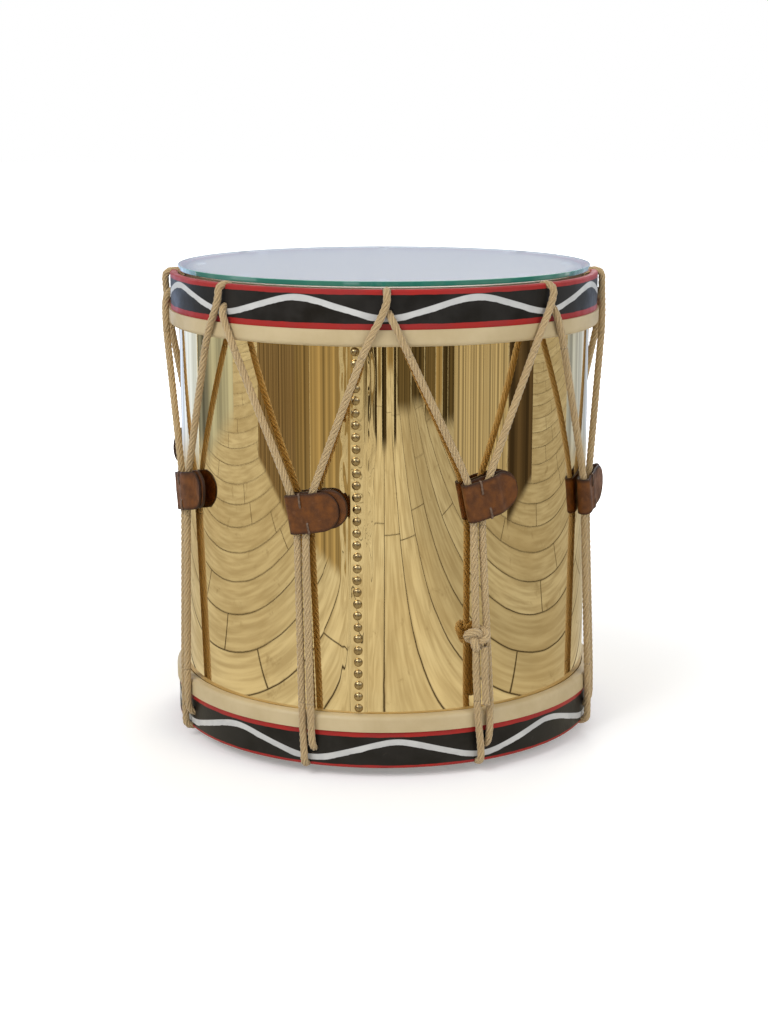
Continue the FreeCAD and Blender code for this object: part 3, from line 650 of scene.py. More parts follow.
def seam_buckle(off_seam, level):
    """Wavy creases that the nailing left on both sides of the row, deeper towards the top."""
    side = math.copysign(1.0, off_seam)
    wander, depth = (
        noise.noise(Vector((level * scale, side * apart, start)))
        for scale, apart, start in (WANDER_NOISE, DEPTH_NOISE))
    away = (abs(off_seam) - BUCKLE_AWAY - BUCKLE_WANDER * wander) / BUCKLE_WIDTH
    share = BUCKLE_LEAST_SHARE + (1.0 - BUCKLE_LEAST_SHARE) * ramp(level, *BUCKLE_RISE)
    return BUCKLE_DEPTH * share * ramp(depth, -0.5, 0.5) * math.exp(-away * away)


def brass_shift(radius, azimuth, level):
    """How far the sheet's outside stands from its cylinder: the lap, ripples, creases and puckers."""
    if radius < SHELL_RADIUS:
        return 0.0
    off_seam = math.radians((azimuth - SEAM_AZIMUTH + 180.0) % 360.0 - 180.0) * SHELL_RADIUS
    half = LAP_WIDTH / 2
    lap = ramp(off_seam, -half - LAP_LIP, -half) * ramp(-off_seam, -half - LAP_SLOPE, -half)
    place = on_drum(RIPPLES_ROUND, azimuth, level * RIPPLES_UP)
    shift = LAP_THICKNESS * lap + RIPPLE_DEPTH * noise.noise(place)
    if abs(off_seam) < NEAR_SEAM:
        shift -= seam_buckle(off_seam, level)
        for nail_azimuth, nail_level in NAILS:
            across = math.radians(azimuth - nail_azimuth) * SHELL_RADIUS
            away = math.hypot(across, level - nail_level) / PUCKER_RADIUS
            if away < PUCKER_REACH:
                shift -= PUCKER_DEPTH * math.exp(-away * away)
    return shift


def brass_sheet(finish):
    fine = round(2 * FINE_HALF / FINE_TURN)
    coarse = round((360.0 - 2 * FINE_HALF) / COARSE_TURN)
    azimuths = [SEAM_AZIMUTH - FINE_HALF + FINE_TURN * i for i in range(fine + 1)]
    azimuths += [SEAM_AZIMUTH + FINE_HALF + COARSE_TURN * i for i in range(1, coarse)]
    height = SHELL_HIGH - SHELL_LOW
    profile = [(SHELL_RADIUS, SHELL_LOW + height * i / BRASS_ROWS) for i in range(BRASS_ROWS + 1)]
    profile += [(SHELL_RADIUS - BRASS_THICKNESS, level) for level in (SHELL_HIGH, SHELL_LOW)]
    return new_piece("brass_sheet", *turned_mesh(profile, azimuths, brass_shift), [finish], sharp_angle=60)


def nail_row(finish):
    vertices = []
    faces = []
    for azimuth, level in NAILS:
        seat = on_drum(SHELL_RADIUS + LAP_THICKNESS - PUCKER_DEPTH, azimuth, level)
        place = Matrix.Translation(seat) @ Matrix.Rotation(math.radians(azimuth), 4, "Z")
        for axis in "ZX":
            place = place @ Matrix.Rotation(math.radians(draw.uniform(-NAIL_TILT, NAIL_TILT)), 4, axis)
        wide = NAIL_RADIUS * draw.uniform(*NAIL_WIDTHS)
        start = len(vertices)
        for ring in range(NAIL_RINGS):
            rise = 0.5 * math.pi * ring / NAIL_RINGS
            out = wide * math.cos(rise)
            for side in range(NAIL_SIDES):
                turn = 2.0 * math.pi * side / NAIL_SIDES
                height = NAIL_HEIGHT * math.sin(rise)
                vertices.append(place @ Vector((out * math.cos(turn), -height, out * math.sin(turn))))
        last = len(vertices) - NAIL_SIDES
        crown = len(vertices)
        vertices.append(place @ Vector((0.0, -NAIL_HEIGHT, 0.0)))
        faces += tube_faces(NAIL_RINGS, NAIL_SIDES, start, caps=False)
        faces += [[last + side, last + (side + 1) % NAIL_SIDES, crown] for side in range(NAIL_SIDES)]
        faces.append(list(range(start, start + NAIL_SIDES)))
    return new_piece("seam_nail_heads", vertices, faces, [finish], sharp_angle=60)


# Skins and glass

SKIN_WAVER = 0.0002
WAVERS_ROUND = 4.0
WAVERS_UP = 36.0
SKIN_SIDES = 240
GLASS_SIDES = 256
ARRIS = 0.0005
BUMPER_CLEARANCE = 0.0002


def skin_piece(name, rim, seat, edge, finish):
    """The head: flat at the rim, down its ring, and lapped over the flesh hoop with a round edge."""
    into = 1.0 if edge > rim else -1.0
    wall = into * SKIN_THICKNESS
    round_radius = FLESH_RADIUS - FLESH_ROUND
    round_level = edge - into * FLESH_ROUND
    profile = [(0.0, rim), (HEAD_RADIUS, rim), (HEAD_RADIUS, seat), (FLESH_RADIUS, seat)]
    profile += arc(round_radius, round_level, FLESH_ROUND, 0.0, into * 90.0)
    profile += [(FLESH_INNER_RADIUS, edge), (FLESH_INNER_RADIUS, edge - wall)]
    profile += arc(round_radius, round_level, FLESH_ROUND - SKIN_THICKNESS, into * 90.0, 0.0)
    profile += [(FLESH_RADIUS - SKIN_THICKNESS, seat + wall), (HEAD_RADIUS - SKIN_THICKNESS, seat + wall)]
    profile += [(HEAD_RADIUS - SKIN_THICKNESS, rim + wall), (0.0, rim + wall)]

    def waver(radius, azimuth, level):
        if into * (level - seat) <= SKIN_THICKNESS:
            return 0.0
        return SKIN_WAVER * noise.noise(on_drum(WAVERS_ROUND, azimuth, level * WAVERS_UP))

    return new_piece(name, *turned_mesh(profile, even_azimuths(SKIN_SIDES), waver), [finish], sharp_angle=50)


def glass_disc(clear, edge):
    """The loose disc: clear faces, and a green polished edge with round arrises."""
    out = GLASS_RADIUS - ARRIS
    flat = out - ARRIS
    under = GLASS_LOW + BUMPER_CLEARANCE
    profile = [(0.0, under), (flat / 2, under), (flat, under)]
    profile += arc(out, under + ARRIS, ARRIS, -90.0, 0.0) + arc(out, GLASS_HIGH - ARRIS, ARRIS, 0.0, 90.0)
    profile += [(flat, GLASS_HIGH), (flat / 2, GLASS_HIGH), (0.0, GLASS_HIGH)]
    vertices, faces = turned_mesh(profile, even_azimuths(GLASS_SIDES))
    piece = new_piece("glass_disc", vertices, faces, [clear, edge], sharp_angle=50)
    for face in piece.data.polygons:
        face.material_index = int(math.hypot(face.center.x, face.center.y) > flat)
    piece.visible_shadow = False
    return piece


# The rope's route; straight runs are held straight for a while from a bend

STRAIGHT_HOLD = 0.045
EDGE_HOLD = 0.016


def degrees_along(length):
    return math.degrees(length / ROPE_OUTSIDE_RADIUS)


def midway_azimuth(ear):
    return EAR_STEP * (ear - 1) - EAR_STEP / 2


def ear_azimuth(ear):
    return EAR_TWIST + midway_azimuth(ear)


def ear_level(ear):
    return BOTTOM_EDGE + EAR_LEVEL_SHARES[ear - 1] * (TOP_EDGE - BOTTOM_EDGE)


def along_ear(ear):
    """The direction along the drum's face at an ear."""
    return on_drum(1.0, ear_azimuth(ear) + 90.0, 0.0)


def pair_spacing(share):
    """How far the two ropes in an ear are apart: share 0 is the ear's foot and 1 its head."""
    return PAIR_SPACING + share * (EAR_SPREAD - PAIR_SPACING)


def ear_point(ear, side, share):
    """A point of a rope in an ear: side -1 is the left rope."""
    level = ear_level(ear) + (share - 0.5) * EAR_HEIGHT
    return on_drum(EAR_RADIUS, ear_azimuth(ear), level) + along_ear(ear) * (side * pair_spacing(share) / 2)


def top_turn(anchor):
    """Edge azimuth, hole azimuth, rim level, hole level and leaving level at the top hoop."""
    edge = TOP_TWIST + EAR_STEP * (anchor - 1)
    hole = edge + degrees_along(HOLE_SIDE_SHIFT)
    return edge, hole, TOP_RIM - ROPE_EDGE_SINK, TOP_RIM - TOP_HOLE_DEPTH, TOP_EDGE + ROPE_EDGE_DROP


def bottom_turn(ear):
    """The same at the bottom hoop."""
    middle = BOTTOM_TWIST + midway_azimuth(ear)
    half = degrees_along(PAIR_SPACING / 2)
    rim = BOTTOM_RIM + ROPE_EDGE_SINK
    return middle - half, middle + half, rim, BOTTOM_RIM + BOTTOM_HOLE_DEPTH, BOTTOM_EDGE - ROPE_EDGE_DROP


def leave_point(turn, from_hole, goal, spread=0.0):
    """Where a leg towards the goal leaves the flesh hoop's rounded edge."""
    azimuth = turn[1] if from_hole else turn[0]
    level = turn[3] if from_hole else turn[2]
    goal_azimuth = math.degrees(math.atan2(goal.x, -goal.y))
    around = (goal_azimuth - azimuth + 180.0) % 360.0 - 180.0
    share = (turn[4] - level) / (goal.z - level)
    return on_drum(ROPE_OUTSIDE_RADIUS, azimuth + share * around + degrees_along(spread), turn[4])


def upper_leave(ear, side):
    anchor = ear if side > 0 else (ear - 2) % EAR_COUNT + 1
    return leave_point(top_turn(anchor), side < 0, ear_point(ear, side, 1.0))


def lower_leave(ear, side):
    spread = side * (KNOTTED_SPACING - PAIR_SPACING) / 2 if ear == KNOTTED_EAR else 0.0
    return leave_point(bottom_turn(ear), side > 0, ear_point(ear, side, 0.0), spread)


def towards(start, goal, run):
    return start + (goal - start).normalized() * run


def hoop_points(turn):
    """Over the free edge, down the inside and out of the hole."""
    edge, hole, rim, hole_level, leave_level = turn
    inward = 1.0 if leave_level > rim else -1.0
    return [
        on_drum(ROPE_OUTSIDE_RADIUS, edge, rim + inward * EDGE_HOLD),
        on_drum(ROPE_OUTSIDE_RADIUS, edge, rim),
        on_drum(ROPE_INSIDE_RADIUS, edge, rim),
        on_drum(ROPE_INSIDE_RADIUS, hole, hole_level),
        on_drum(ROPE_OUTSIDE_RADIUS, hole, hole_level),
    ]


def straight_leg(leave, mouth):
    """A tight leg, held straight near both of its bends."""
    return [leave, towards(leave, mouth, STRAIGHT_HOLD), towards(mouth, leave, STRAIGHT_HOLD), mouth]


def upper_leg(ear, side):
    return straight_leg(upper_leave(ear, side), ear_point(ear, side, 1.0))


def lower_leg(ear, side):
    return straight_leg(lower_leave(ear, side), ear_point(ear, side, 0.0))


def rope_route():
    """From the knot once round the drum: under the bottom hoop, up through the ear, over the top, and on."""
    route = [knot_middle()]
    for step in range(EAR_COUNT):
        ear = (KNOTTED_EAR + step - 1) % EAR_COUNT + 1
        after = ear % EAR_COUNT + 1
        left = lower_leg(ear, -1)
        route += left[1::-1] if step == 0 else left[::-1]
        route += hoop_points(bottom_turn(ear)) + lower_leg(ear, 1) + [ear_point(ear, 1, 0.5)]
        route += upper_leg(ear, 1)[::-1] + hoop_points(top_turn(ear))
        route += upper_leg(after, -1) + [ear_point(after, -1, 0.5)]
    return route + lower_leg(KNOTTED_EAR, -1)[:1:-1] + [knot_middle()]


def knot_axis():
    return (ear_point(KNOTTED_EAR, -1, 0.0) - lower_leave(KNOTTED_EAR, -1)).normalized()


def knot_middle():
    return lower_leave(KNOTTED_EAR, -1) + knot_axis() * KNOT_RUN


# Laid rope: strands twisted round the route

ROPE_STEP = 0.0025
ROPE_LAY = 0.040
STRAND_RADIUS = 0.00175
STRAND_OFFSET = ROPE_DIAMETER / 2 - STRAND_RADIUS
STRAND_COUNT = 6
STRAND_SIDES = 7
FLARE_RUN = 0.012
# A direction that no rope starts in
SKEW = (0.3, 0.2, 1.0)


class LaidRope:
    """A line at even steps with a frame that doesn't twist, ready to carry strands."""

    def __init__(self, line, step=ROPE_STEP, thickness=1.0):
        self.points, self.runs = evenly_along(np.asarray(line), step)
        self.last = len(self.points) - 1
        self.thickness = thickness
        tangents = np.gradient(self.points, axis=0)
        tangents /= np.linalg.norm(tangents, axis=1)[:, None]
        side = np.cross(tangents[0], SKEW)
        sides = []
        for tangent in tangents:
            side = side - tangent * np.dot(side, tangent)
            side = side / np.linalg.norm(side)
            sides.append(side)
        self.sides = np.array(sides)
        self.fronts = np.cross(tangents, self.sides)

    def nearest(self, point):
        return int(np.argmin(np.linalg.norm(self.points - np.array(point), axis=1)))

    def out_at(self, part, angles):
        """Directions square to the line, at an angle for each step and side."""
        cosines = np.cos(angles)[..., None] * self.sides[part][:, None, :]
        return cosines + np.sin(angles)[..., None] * self.fronts[part][:, None, :]

    def strands(self, start, end, flare=0.0):
        """Vertices, faces and lay coordinates of the strands between two steps."""
        part = slice(start, end + 1)
        runs = self.runs[part]
        count = len(runs)
        flaring = 1.0 + flare * np.clip((runs - runs[-1] + FLARE_RUN) / FLARE_RUN, 0.0, 1.0) ** 2
        offset = (STRAND_OFFSET * self.thickness * flaring)[:, None, None]
        round_turns = 2.0 * math.pi * np.arange(STRAND_SIDES) / STRAND_SIDES
        vertices = []
        faces = []
        for strand in range(STRAND_COUNT):
            turn = 2.0 * math.pi * (runs / ROPE_LAY + strand / STRAND_COUNT)[:, None]
            middle = self.points[part][:, None, :] + offset * self.out_at(part, turn)
            ring = STRAND_RADIUS * self.thickness * self.out_at(part, turn + round_turns)
            faces += tube_faces(count, STRAND_SIDES, len(vertices))
            vertices += (middle + ring).reshape(-1, 3).tolist()
        across = np.arange(STRAND_SIDES + 1) / STRAND_SIDES
        lays = np.zeros((count - 1, STRAND_SIDES, 4, 2))
        lays[..., (0, 3), 0] = across[:-1, None]
        lays[..., (1, 2), 0] = across[1:, None]
        lays[..., :2, 1] = runs[:-1, None, None]
        lays[..., 2:, 1] = runs[1:, None, None]
        caps = [(share, runs[cap]) for cap in (0, -1) for share in across[:-1]]
        strand_lays = np.concatenate([lays.ravel(), np.ravel(caps)])
        return vertices, faces, np.tile(strand_lays, STRAND_COUNT).tolist()


def rope_piece(name, stretches, finish):
    """One mesh from several stretches of strands."""
    vertices = []
    faces = []
    lays = []
    for more_vertices, more_faces, more_lays in stretches:
        faces += [[len(vertices) + corner for corner in face] for face in more_faces]
        vertices += more_vertices
        lays += more_lays
    return new_piece(name, vertices, faces, [finish], lays=lays)


def lace_the_drum(finish):
    """The rope's turns stay on the hoops; its legs follow the ears."""
    rope = LaidRope(smooth_line(rope_route()))
    turns = {"top": [], "bottom": []}

    def joint_step(leg):
        """The step where a leg meets the turn on its hoop."""
        return rope.nearest(towards(leg[0], leg[-1], ROPE_JOINT_RUN))

    for ear in EARS:
        legs = {side: lower_leg(ear, side) for side in (-1, 1)}
        mouths = {side: towards(leg[-1], leg[0], EAR_MOUTH_RUN) for side, leg in legs.items()}
        ends = {side: rope.nearest(mouth) for side, mouth in mouths.items()}
        lowers = {side: joint_step(leg) for side, leg in legs.items()}
        uppers = {side: joint_step(upper_leg(ear, side)) for side in (-1, 1)}
        next_upper = joint_step(upper_leg(ear % EAR_COUNT + 1, -1))
        turns["top"].append(rope.strands(uppers[1], next_upper))
        turns["bottom"].append(rope.strands(lowers[-1], lowers[1]))

        stretches = [rope.strands(ends[1], uppers[1]), rope.strands(uppers[-1], ends[-1])]
        upper = rope_piece(f"rope_legs_upper_{ear}", stretches, finish)
        head_level = ear_point(ear, 1, 1.0).z
        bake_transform(upper)
        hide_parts(f"rope_upper_{ear}")

        if ear == KNOTTED_EAR:
            stretches = [rope.strands(ends[-1], rope.last), rope.strands(0, lowers[-1])]
        else:
            stretches = [rope.strands(ends[-1], lowers[-1])]
        stretches.append(rope.strands(lowers[1], ends[1]))
        lower = rope_piece(f"rope_legs_lower_{ear}", stretches, finish)
        dress(lower, "root", f"rope_lower_{ear}")
        low_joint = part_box(f"rope_lower_{ear}")[0].z
        slide = next(joint for joint in frame["joints"] if joint["name"] == f"ear_slide_{ear}")
        keep = 1.0 + slide["range_m"][0] / (mouths[1].z - low_joint)
        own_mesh(lower)

    for end, stretches in turns.items():
        dress(rope_piece(f"rope_over_{end}_hoop", stretches, finish), "root", f"rope_{end}_turns")


# Knot and tail

KNOT_SCALE = 0.0037
KNOT_DEPTH = 0.0044
KNOT_STAND_OFF = 0.002
KNOT_ROPE_SHARE = 1.12
KNOT_STEPS = 64
KNOT_ROPE_STEP = 0.0012
TAIL_STAND_OFF = 1.08 * ROPE_DIAMETER
TAIL_SWAYS = (0.0, 0.0006, -0.0005, 0.0004, 0.0008)
TAIL_FLARE = 0.25


def outward(point):
    return Vector((point.x, point.y, 0.0)).normalized()


def tie_knot(finish):
    """An overhand knot drawn tight round the left leg of one pair."""
    middle = knot_middle()
    up = knot_axis()
    out = outward(middle)
    side = out.cross(up).normalized()
    line = []
    for i in range(KNOT_STEPS + 1):
        turn = 2.0 * math.pi * i / KNOT_STEPS
        across = KNOT_SCALE * (math.sin(turn) + 2.0 * math.sin(2.0 * turn))
        along = KNOT_SCALE * (math.cos(turn) - 2.0 * math.cos(2.0 * turn))
        depth = KNOT_STAND_OFF - KNOT_DEPTH * math.sin(3.0 * turn)
        line.append(middle + out * depth + side * across + up * along)
    rope = LaidRope([tuple(point) for point in line], step=KNOT_ROPE_STEP, thickness=KNOT_ROPE_SHARE)
    dress(rope_piece("tied_knot", [rope.strands(0, rope.last)], finish), "root", "rope_knot")


def tail_place(level):
    """A point in front of the knotted pair, clear of both legs."""
    places = []
    for side in (-1, 1):
        leave = lower_leave(KNOTTED_EAR, side)
        foot = ear_point(KNOTTED_EAR, side, 0.0)
        places.append(leave.lerp(foot, (level - leave.z) / (foot.z - leave.z)))
    middle = (places[0] + places[1]) / 2
    half = (places[0] - places[1]).length / 2
    return middle + outward(middle) * math.sqrt(max(0.0, TAIL_STAND_OFF ** 2 - half ** 2))


def hang_tail(finish):
    top = knot_middle().z - KNOT_HEIGHT / 2
    drop = TAIL_LENGTH / (len(TAIL_SWAYS) - 1)
    across = along_ear(KNOTTED_EAR)
    points = [tail_place(top - drop * i) + across * sway for i, sway in enumerate(TAIL_SWAYS)]
    rope = LaidRope(smooth_line(points))
    piece = rope_piece("rope_tail_end", [rope.strands(0, rope.last, flare=TAIL_FLARE)], finish)
    dress(piece, "root", "rope_tail")
    tuple(points[0])


# Ears: in an ear's own frame X runs along the drum's face, Y towards its axis and Z up the fold

LEATHER_THICKNESS = 0.003
LEATHER_EDGE_ROUND = 0.0008
EAR_FOLD = 0.0140
EAR_LEAF = 0.00615
EAR_BACK_TIP = 0.0515
EAR_FRONT_TIPS = (0.0435, 0.0500, 0.0480, 0.0455, 0.0490, 0.0445, 0.0480, 0.0470)
EAR_BEND_START = 0.0215
EAR_BEND_END = 0.0330
EAR_TONGUE_FRONT = 0.0030
EAR_TONGUE_LIFTS = (0.0, 0.0, 0.0095, 0.001, 0.0, 0.002, 0.0095, 0.0005)
EAR_TIP_ROUND = 0.0208
EAR_TIP_TURN = 7.5
EAR_ROWS = 12
EAR_STEP_ALONG = 0.0014
EAR_LINE_STEP = EAR_STEP_ALONG / 4
EAR_LINE_RESOLUTION = 16
EDGE_DARK_WIDTH = 0.0026
BACK_LEAF_RISE = 0.0016
BACK_LEAF_FALL = 2.4
ROPE_BULGE = 0.0007
ROPE_BULGE_WIDTH = 0.0045
LEATHER_UNEVENNESS = 0.0004
LEATHER_WANDER = 60.0
LEATHER_APART = 3.7


def ear_plan(ear):
    """The leather's middle line seen from above: back leaf, fold, front leaf and tongue."""
    lift = EAR_TONGUE_LIFTS[ear - 1]
    tip = EAR_FRONT_TIPS[ear - 1]
    back = EAR_LEAF - lift
    front = EAR_TONGUE_FRONT - lift
    plan = [
        (EAR_BACK_TIP, back), ((EAR_BEND_END + EAR_BACK_TIP) / 2, back), (EAR_BEND_END, back),
        (EAR_BEND_START, EAR_LEAF), (0.0, EAR_LEAF), (-EAR_FOLD, EAR_LEAF),
        (-EAR_FOLD, -EAR_LEAF), (0.0, -EAR_LEAF), (EAR_BEND_START, -EAR_LEAF),
        (EAR_BEND_END, front), ((EAR_BEND_END + tip) / 2, front), (tip, front),
    ]
    return [(across, depth, 0.0) for across, depth in plan]


def ear_place(ear):
    seat = on_drum(EAR_RADIUS, ear_azimuth(ear), ear_level(ear))
    turn = Matrix.Rotation(math.radians(ear_azimuth(ear)), 4, "Z")
    return Matrix.Translation(seat) @ turn @ Matrix.Rotation(math.radians(-EAR_TILTS[ear - 1]), 4, "Y")


def half_height(from_end):
    """Half the strip's height, rounded off towards its ends."""
    rest = max(0.0, EAR_TIP_ROUND - from_end)
    return EAR_HEIGHT / 2 - EAR_TIP_ROUND + math.sqrt(max(0.0, EAR_TIP_ROUND ** 2 - rest ** 2))


def leather_runs(length):
    """Steps along the strip, closer together at its round ends."""
    turns = round(90.0 / EAR_TIP_TURN)
    tip = [EAR_TIP_ROUND * (1.0 - math.cos(math.radians(EAR_TIP_TURN * i))) for i in range(turns + 1)]
    straight = length - 2 * EAR_TIP_ROUND
    steps = round(straight / EAR_STEP_ALONG)
    middle = [EAR_TIP_ROUND + straight * i / steps for i in range(1, steps)]
    return tip + middle + [length - run for run in reversed(tip)]


def leather_section(half):
    """Depth and level of points round the strip's section, whose cut edges are a little round."""
    thick = LEATHER_THICKNESS / 2
    size = min(LEATHER_EDGE_ROUND, half / 2)
    corner = size * (1.0 - math.sqrt(0.5))
    points = [(thick, (half - size) * (2.0 * row / EAR_ROWS - 1.0)) for row in range(EAR_ROWS + 1)]
    points += [(thick - corner, half - corner), (thick - size, half)]
    points += [(size - thick, half), (corner - thick, half - corner)]
    return points + [(-depth, -level) for depth, level in points]


def rope_bulge(across, level):
    """How far the rope pair behind it pushes the front leaf out."""
    apart = pair_spacing(level / EAR_HEIGHT + 0.5) / 2
    return ROPE_BULGE * sum(math.exp(-((across - side * apart) / ROPE_BULGE_WIDTH) ** 2) for side in (-1, 1))


def leather_ear(ear, finish):
    """One strip of leather folded round the rope pair, its two leaves laid together as a tongue."""
    line, line_runs = evenly_along(smooth_line(ear_plan(ear), EAR_LINE_RESOLUTION), EAR_LINE_STEP)
    length = line_runs[-1]
    runs = leather_runs(length)
    plan = np.stack([np.interp(runs, line_runs, line[:, axis]) for axis in range(2)], axis=1)
    tangents = np.gradient(plan, axis=0)
    tangents /= np.linalg.norm(tangents, axis=1)[:, None]
    place = ear_place(ear)
    vertices = []
    edges = []
    for (across, depth), (along_x, along_y), run in zip(plan, tangents, runs):
        from_end = min(run, length - run)
        half = half_height(from_end)
        rise = BACK_LEAF_RISE * max(0.0, 1.0 - BACK_LEAF_FALL * run / length)
        front = run > length / 2 and across < EAR_BEND_START
        for out, level in leather_section(half):
            spot = Vector((across, level, depth)) * LEATHER_WANDER + Vector((0.0, 0.0, LEATHER_APART * ear))
            uneven = LEATHER_UNEVENNESS * noise.noise(spot)
            pushed = rope_bulge(across, level) if front else 0.0
            vertices.append(place @ Vector((
                across + out * along_y + uneven, depth - out * along_x - pushed + uneven, level + rise)))
            to_edge = min(half - abs(level), from_end + LEATHER_EDGE_ROUND / 2)
            edges.append(1.0 - ramp(to_edge, 0.0, EDGE_DARK_WIDTH))
    faces = tube_faces(len(runs), len(vertices) // len(runs))
    piece = new_piece(f"leather_ear_{ear}", vertices, faces, [finish], sharp_angle=70)
    piece.data.attributes.new("cut_edge", "FLOAT", "POINT").data.foreach_set("value", edges)
    dress(piece, f"ear_{ear}", f"ear_{ear}")


THONG_HALF_WIDTH = 0.0013
THONG_HALF_THICKNESS = 0.0007
THONG_SIDES = 10
THONG_STEP = 0.0007
THONG_SLACK = 0.0006
# Each lace's place along the ear, its run over the front leaf, and its edge: 1 is the upper one
THONGS = ((0.0035, 0.015, 1.0), (0.0090, 0.012, -1.0))


def thong_line(across, run, up):
    """Out of a hole in the front leaf, along its face, over its edge and back into the leather."""
    edge = up * EAR_HEIGHT / 2
    face = -EAR_LEAF - LEATHER_THICKNESS / 2 - THONG_HALF_THICKNESS / 2 - ROPE_BULGE / 2
    hole = edge - up * run
    over = edge + up * THONG_HALF_THICKNESS
    return [
        (across, -EAR_LEAF, hole), (across, face, hole), (across, face - THONG_SLACK, hole + up * run / 3),
        (across + THONG_SLACK, face, edge - up * THONG_HALF_WIDTH), (across, face, over),
        (across, -EAR_LEAF, over), (across, -EAR_LEAF, edge - up * 2 * THONG_HALF_WIDTH),
    ]


def ear_thongs(ear, finish):
    place = ear_place(ear)
    vertices = []
    faces = []
    for thong in THONGS:
        line, _ = evenly_along(smooth_line(thong_line(*thong)), THONG_STEP)
        faces += tube_faces(len(line), THONG_SIDES, len(vertices))
        for point, tangent in zip(line, np.gradient(line, axis=0)):
            thick = Vector((1.0, 0.0, 0.0)).cross(Vector(tangent).normalized()) * THONG_HALF_THICKNESS
            for side in range(THONG_SIDES):
                turn = 2.0 * math.pi * side / THONG_SIDES
                wide = Vector((THONG_HALF_WIDTH * math.cos(turn), 0.0, 0.0))
                vertices.append(place @ (Vector(point) + wide + thick * math.sin(turn)))
    piece = new_piece(f"lace_{ear}", vertices, faces, [finish])
    dress(piece, f"ear_{ear}", f"ear_thong_{ear}")


# The object

# The black band's lower and upper edge on each hoop, and the middle of its wave
TOP_BAND = 0.5003, 0.5307, 0.5162
BOTTOM_BAND = 0.0155, 0.0479, 0.0317
NAIL_TONES = (0.46, 0.35, 0.18), (0.33, 0.24, 0.115)
THONG_TONES = (0.17, 0.105, 0.065), (0.075, 0.042, 0.026)
BARE_WOOD_TONES = (0.52, 0.37, 0.21), (0.38, 0.25, 0.13)
PLYWOOD_TONES = (0.50, 0.37, 0.22), (0.40, 0.28, 0.15)
STEEL_TONES = (0.56, 0.56, 0.57), (0.44, 0.44, 0.45)
RUBBER_TONES = (0.035, 0.035, 0.035), (0.02, 0.02, 0.02)
BUMPER_TONES = (0.80, 0.81, 0.80), (0.72, 0.73, 0.72)


def finish_nodes(finish, *nodes):
    """Solids that keep their shape and get a finish."""
    for node in nodes:
        data = frame["nodes"][node].data
        data.materials.clear()
        data.materials.append(finish)


def dress_the_drum():
    dress(brass_sheet(brass_finish()), "root", "brass_shell")
    aged = two_tone_finish("antique_brass", NAIL_TONES, roughness=(0.2, 0.27), patches=160.0, spread=0.18,
                           bump=0.02, metallic=1.0)
    dress(nail_row(aged), "root", "seam_nails")
    skin = skin_finish()
    top = skin_piece("top_skin", TOP_RIM, TOP_SEAT, TOP_EDGE, skin)
    dress(top, "root", "top_head")
    bottom = skin_piece("bottom_skin", BOTTOM_RIM, BOTTOM_SEAT, BOTTOM_EDGE, skin)
    dress(bottom, "root", "bottom_head")
    finish_nodes(hoop_paint("top_hoop_paint", *TOP_BAND, TOP_TWIST), "top_counter_hoop")
    bottom_trough = BOTTOM_TWIST - EAR_STEP / 2
    finish_nodes(hoop_paint("bottom_hoop_paint", *BOTTOM_BAND, bottom_trough), "bottom_counter_hoop")
    dress(glass_disc(clear_glass(), glass_edge()), "glass", "glass_top")

    rope = rope_finish()
    lace_the_drum(rope)
    tie_knot(rope)
    hang_tail(rope)
    leather = ear_finish()
    thong = two_tone_finish("thong_leather", THONG_TONES, roughness=(0.4, 0.6), patches=240.0, grain=1200.0,
                            bump=0.3, specular_ior_level=0.4)
    for ear in EARS:
        leather_ear(ear, leather)
        ear_thongs(ear, thong)

    finish_nodes(wood_finish("bare_wood", *BARE_WOOD_TONES), "top_flesh_hoop", "bottom_flesh_hoop")
    finish_nodes(wood_finish("plywood", *PLYWOOD_TONES), "top_bearing_ring", "bottom_bearing_ring",
                 "top_board", "bottom_board", "shell_core")
    steel = two_tone_finish("screw_steel", STEEL_TONES, roughness=(0.25, 0.4), metallic=1.0)
    finish_nodes(steel, "top_ring_screws", "bottom_ring_screws", "foot_screws")
    finish_nodes(two_tone_finish("foot_rubber", RUBBER_TONES, roughness=(0.6, 0.8)), "feet")
    finish_nodes(two_tone_finish("clear_bumper", BUMPER_TONES, roughness=(0.25, 0.4)), "glass_bumpers")


# Studio: a plain pale floor, soft light, and cards that only the mirrored surfaces see

WHITE = (1.0, 1.0, 1.0)
FLOOR_TONE = (0.86, 0.86, 0.86)
FLOOR_SIZE = 40.0
# The part of a noise's range that turns one tone into another
NOISE_RANGE = 0.3, 0.7
# Radii between which the floor fades to white, and how much of it glows at the first
FLOOR_FADE = 0.30, 1.3
FLOOR_LEAST_GLOW = 0.22


def seen_rays(nodes):
    """1 for what the camera, a mirror or a glass shows."""
    path = nodes.outputs("ShaderNodeLightPath")
    seen = path["Is Camera Ray"].calc("MAXIMUM", path["Is Glossy Ray"])
    return seen.calc("MAXIMUM", path["Is Transmission Ray"])


def stage_piece(name, vertices, faces, finish):
    piece = new_piece(name, vertices, faces, [finish])
    return piece


def flat_stage(name, size, level, finish):
    half = size / 2
    corners = [(-half, -half, level), (half, -half, level), (half, half, level), (-half, half, level)]
    return stage_piece(name, corners, [[0, 1, 2, 3]], finish)


def floor_finish():
    """Pale floor that keeps the shadow and fades to white away from the drum."""
    floor = Finish("pale_floor", base_color=FLOOR_TONE, roughness=0.9, specular_ior_level=0.0,
                   emission_color=WHITE)
    x, y, _ = floor.split(floor.place())
    fade = radius_of(x, y).step(*FLOOR_FADE, FLOOR_LEAST_GLOW, 1.0)
    floor.feed(floor.shader["Emission Strength"], fade * seen_rays(floor))
    return floor.material


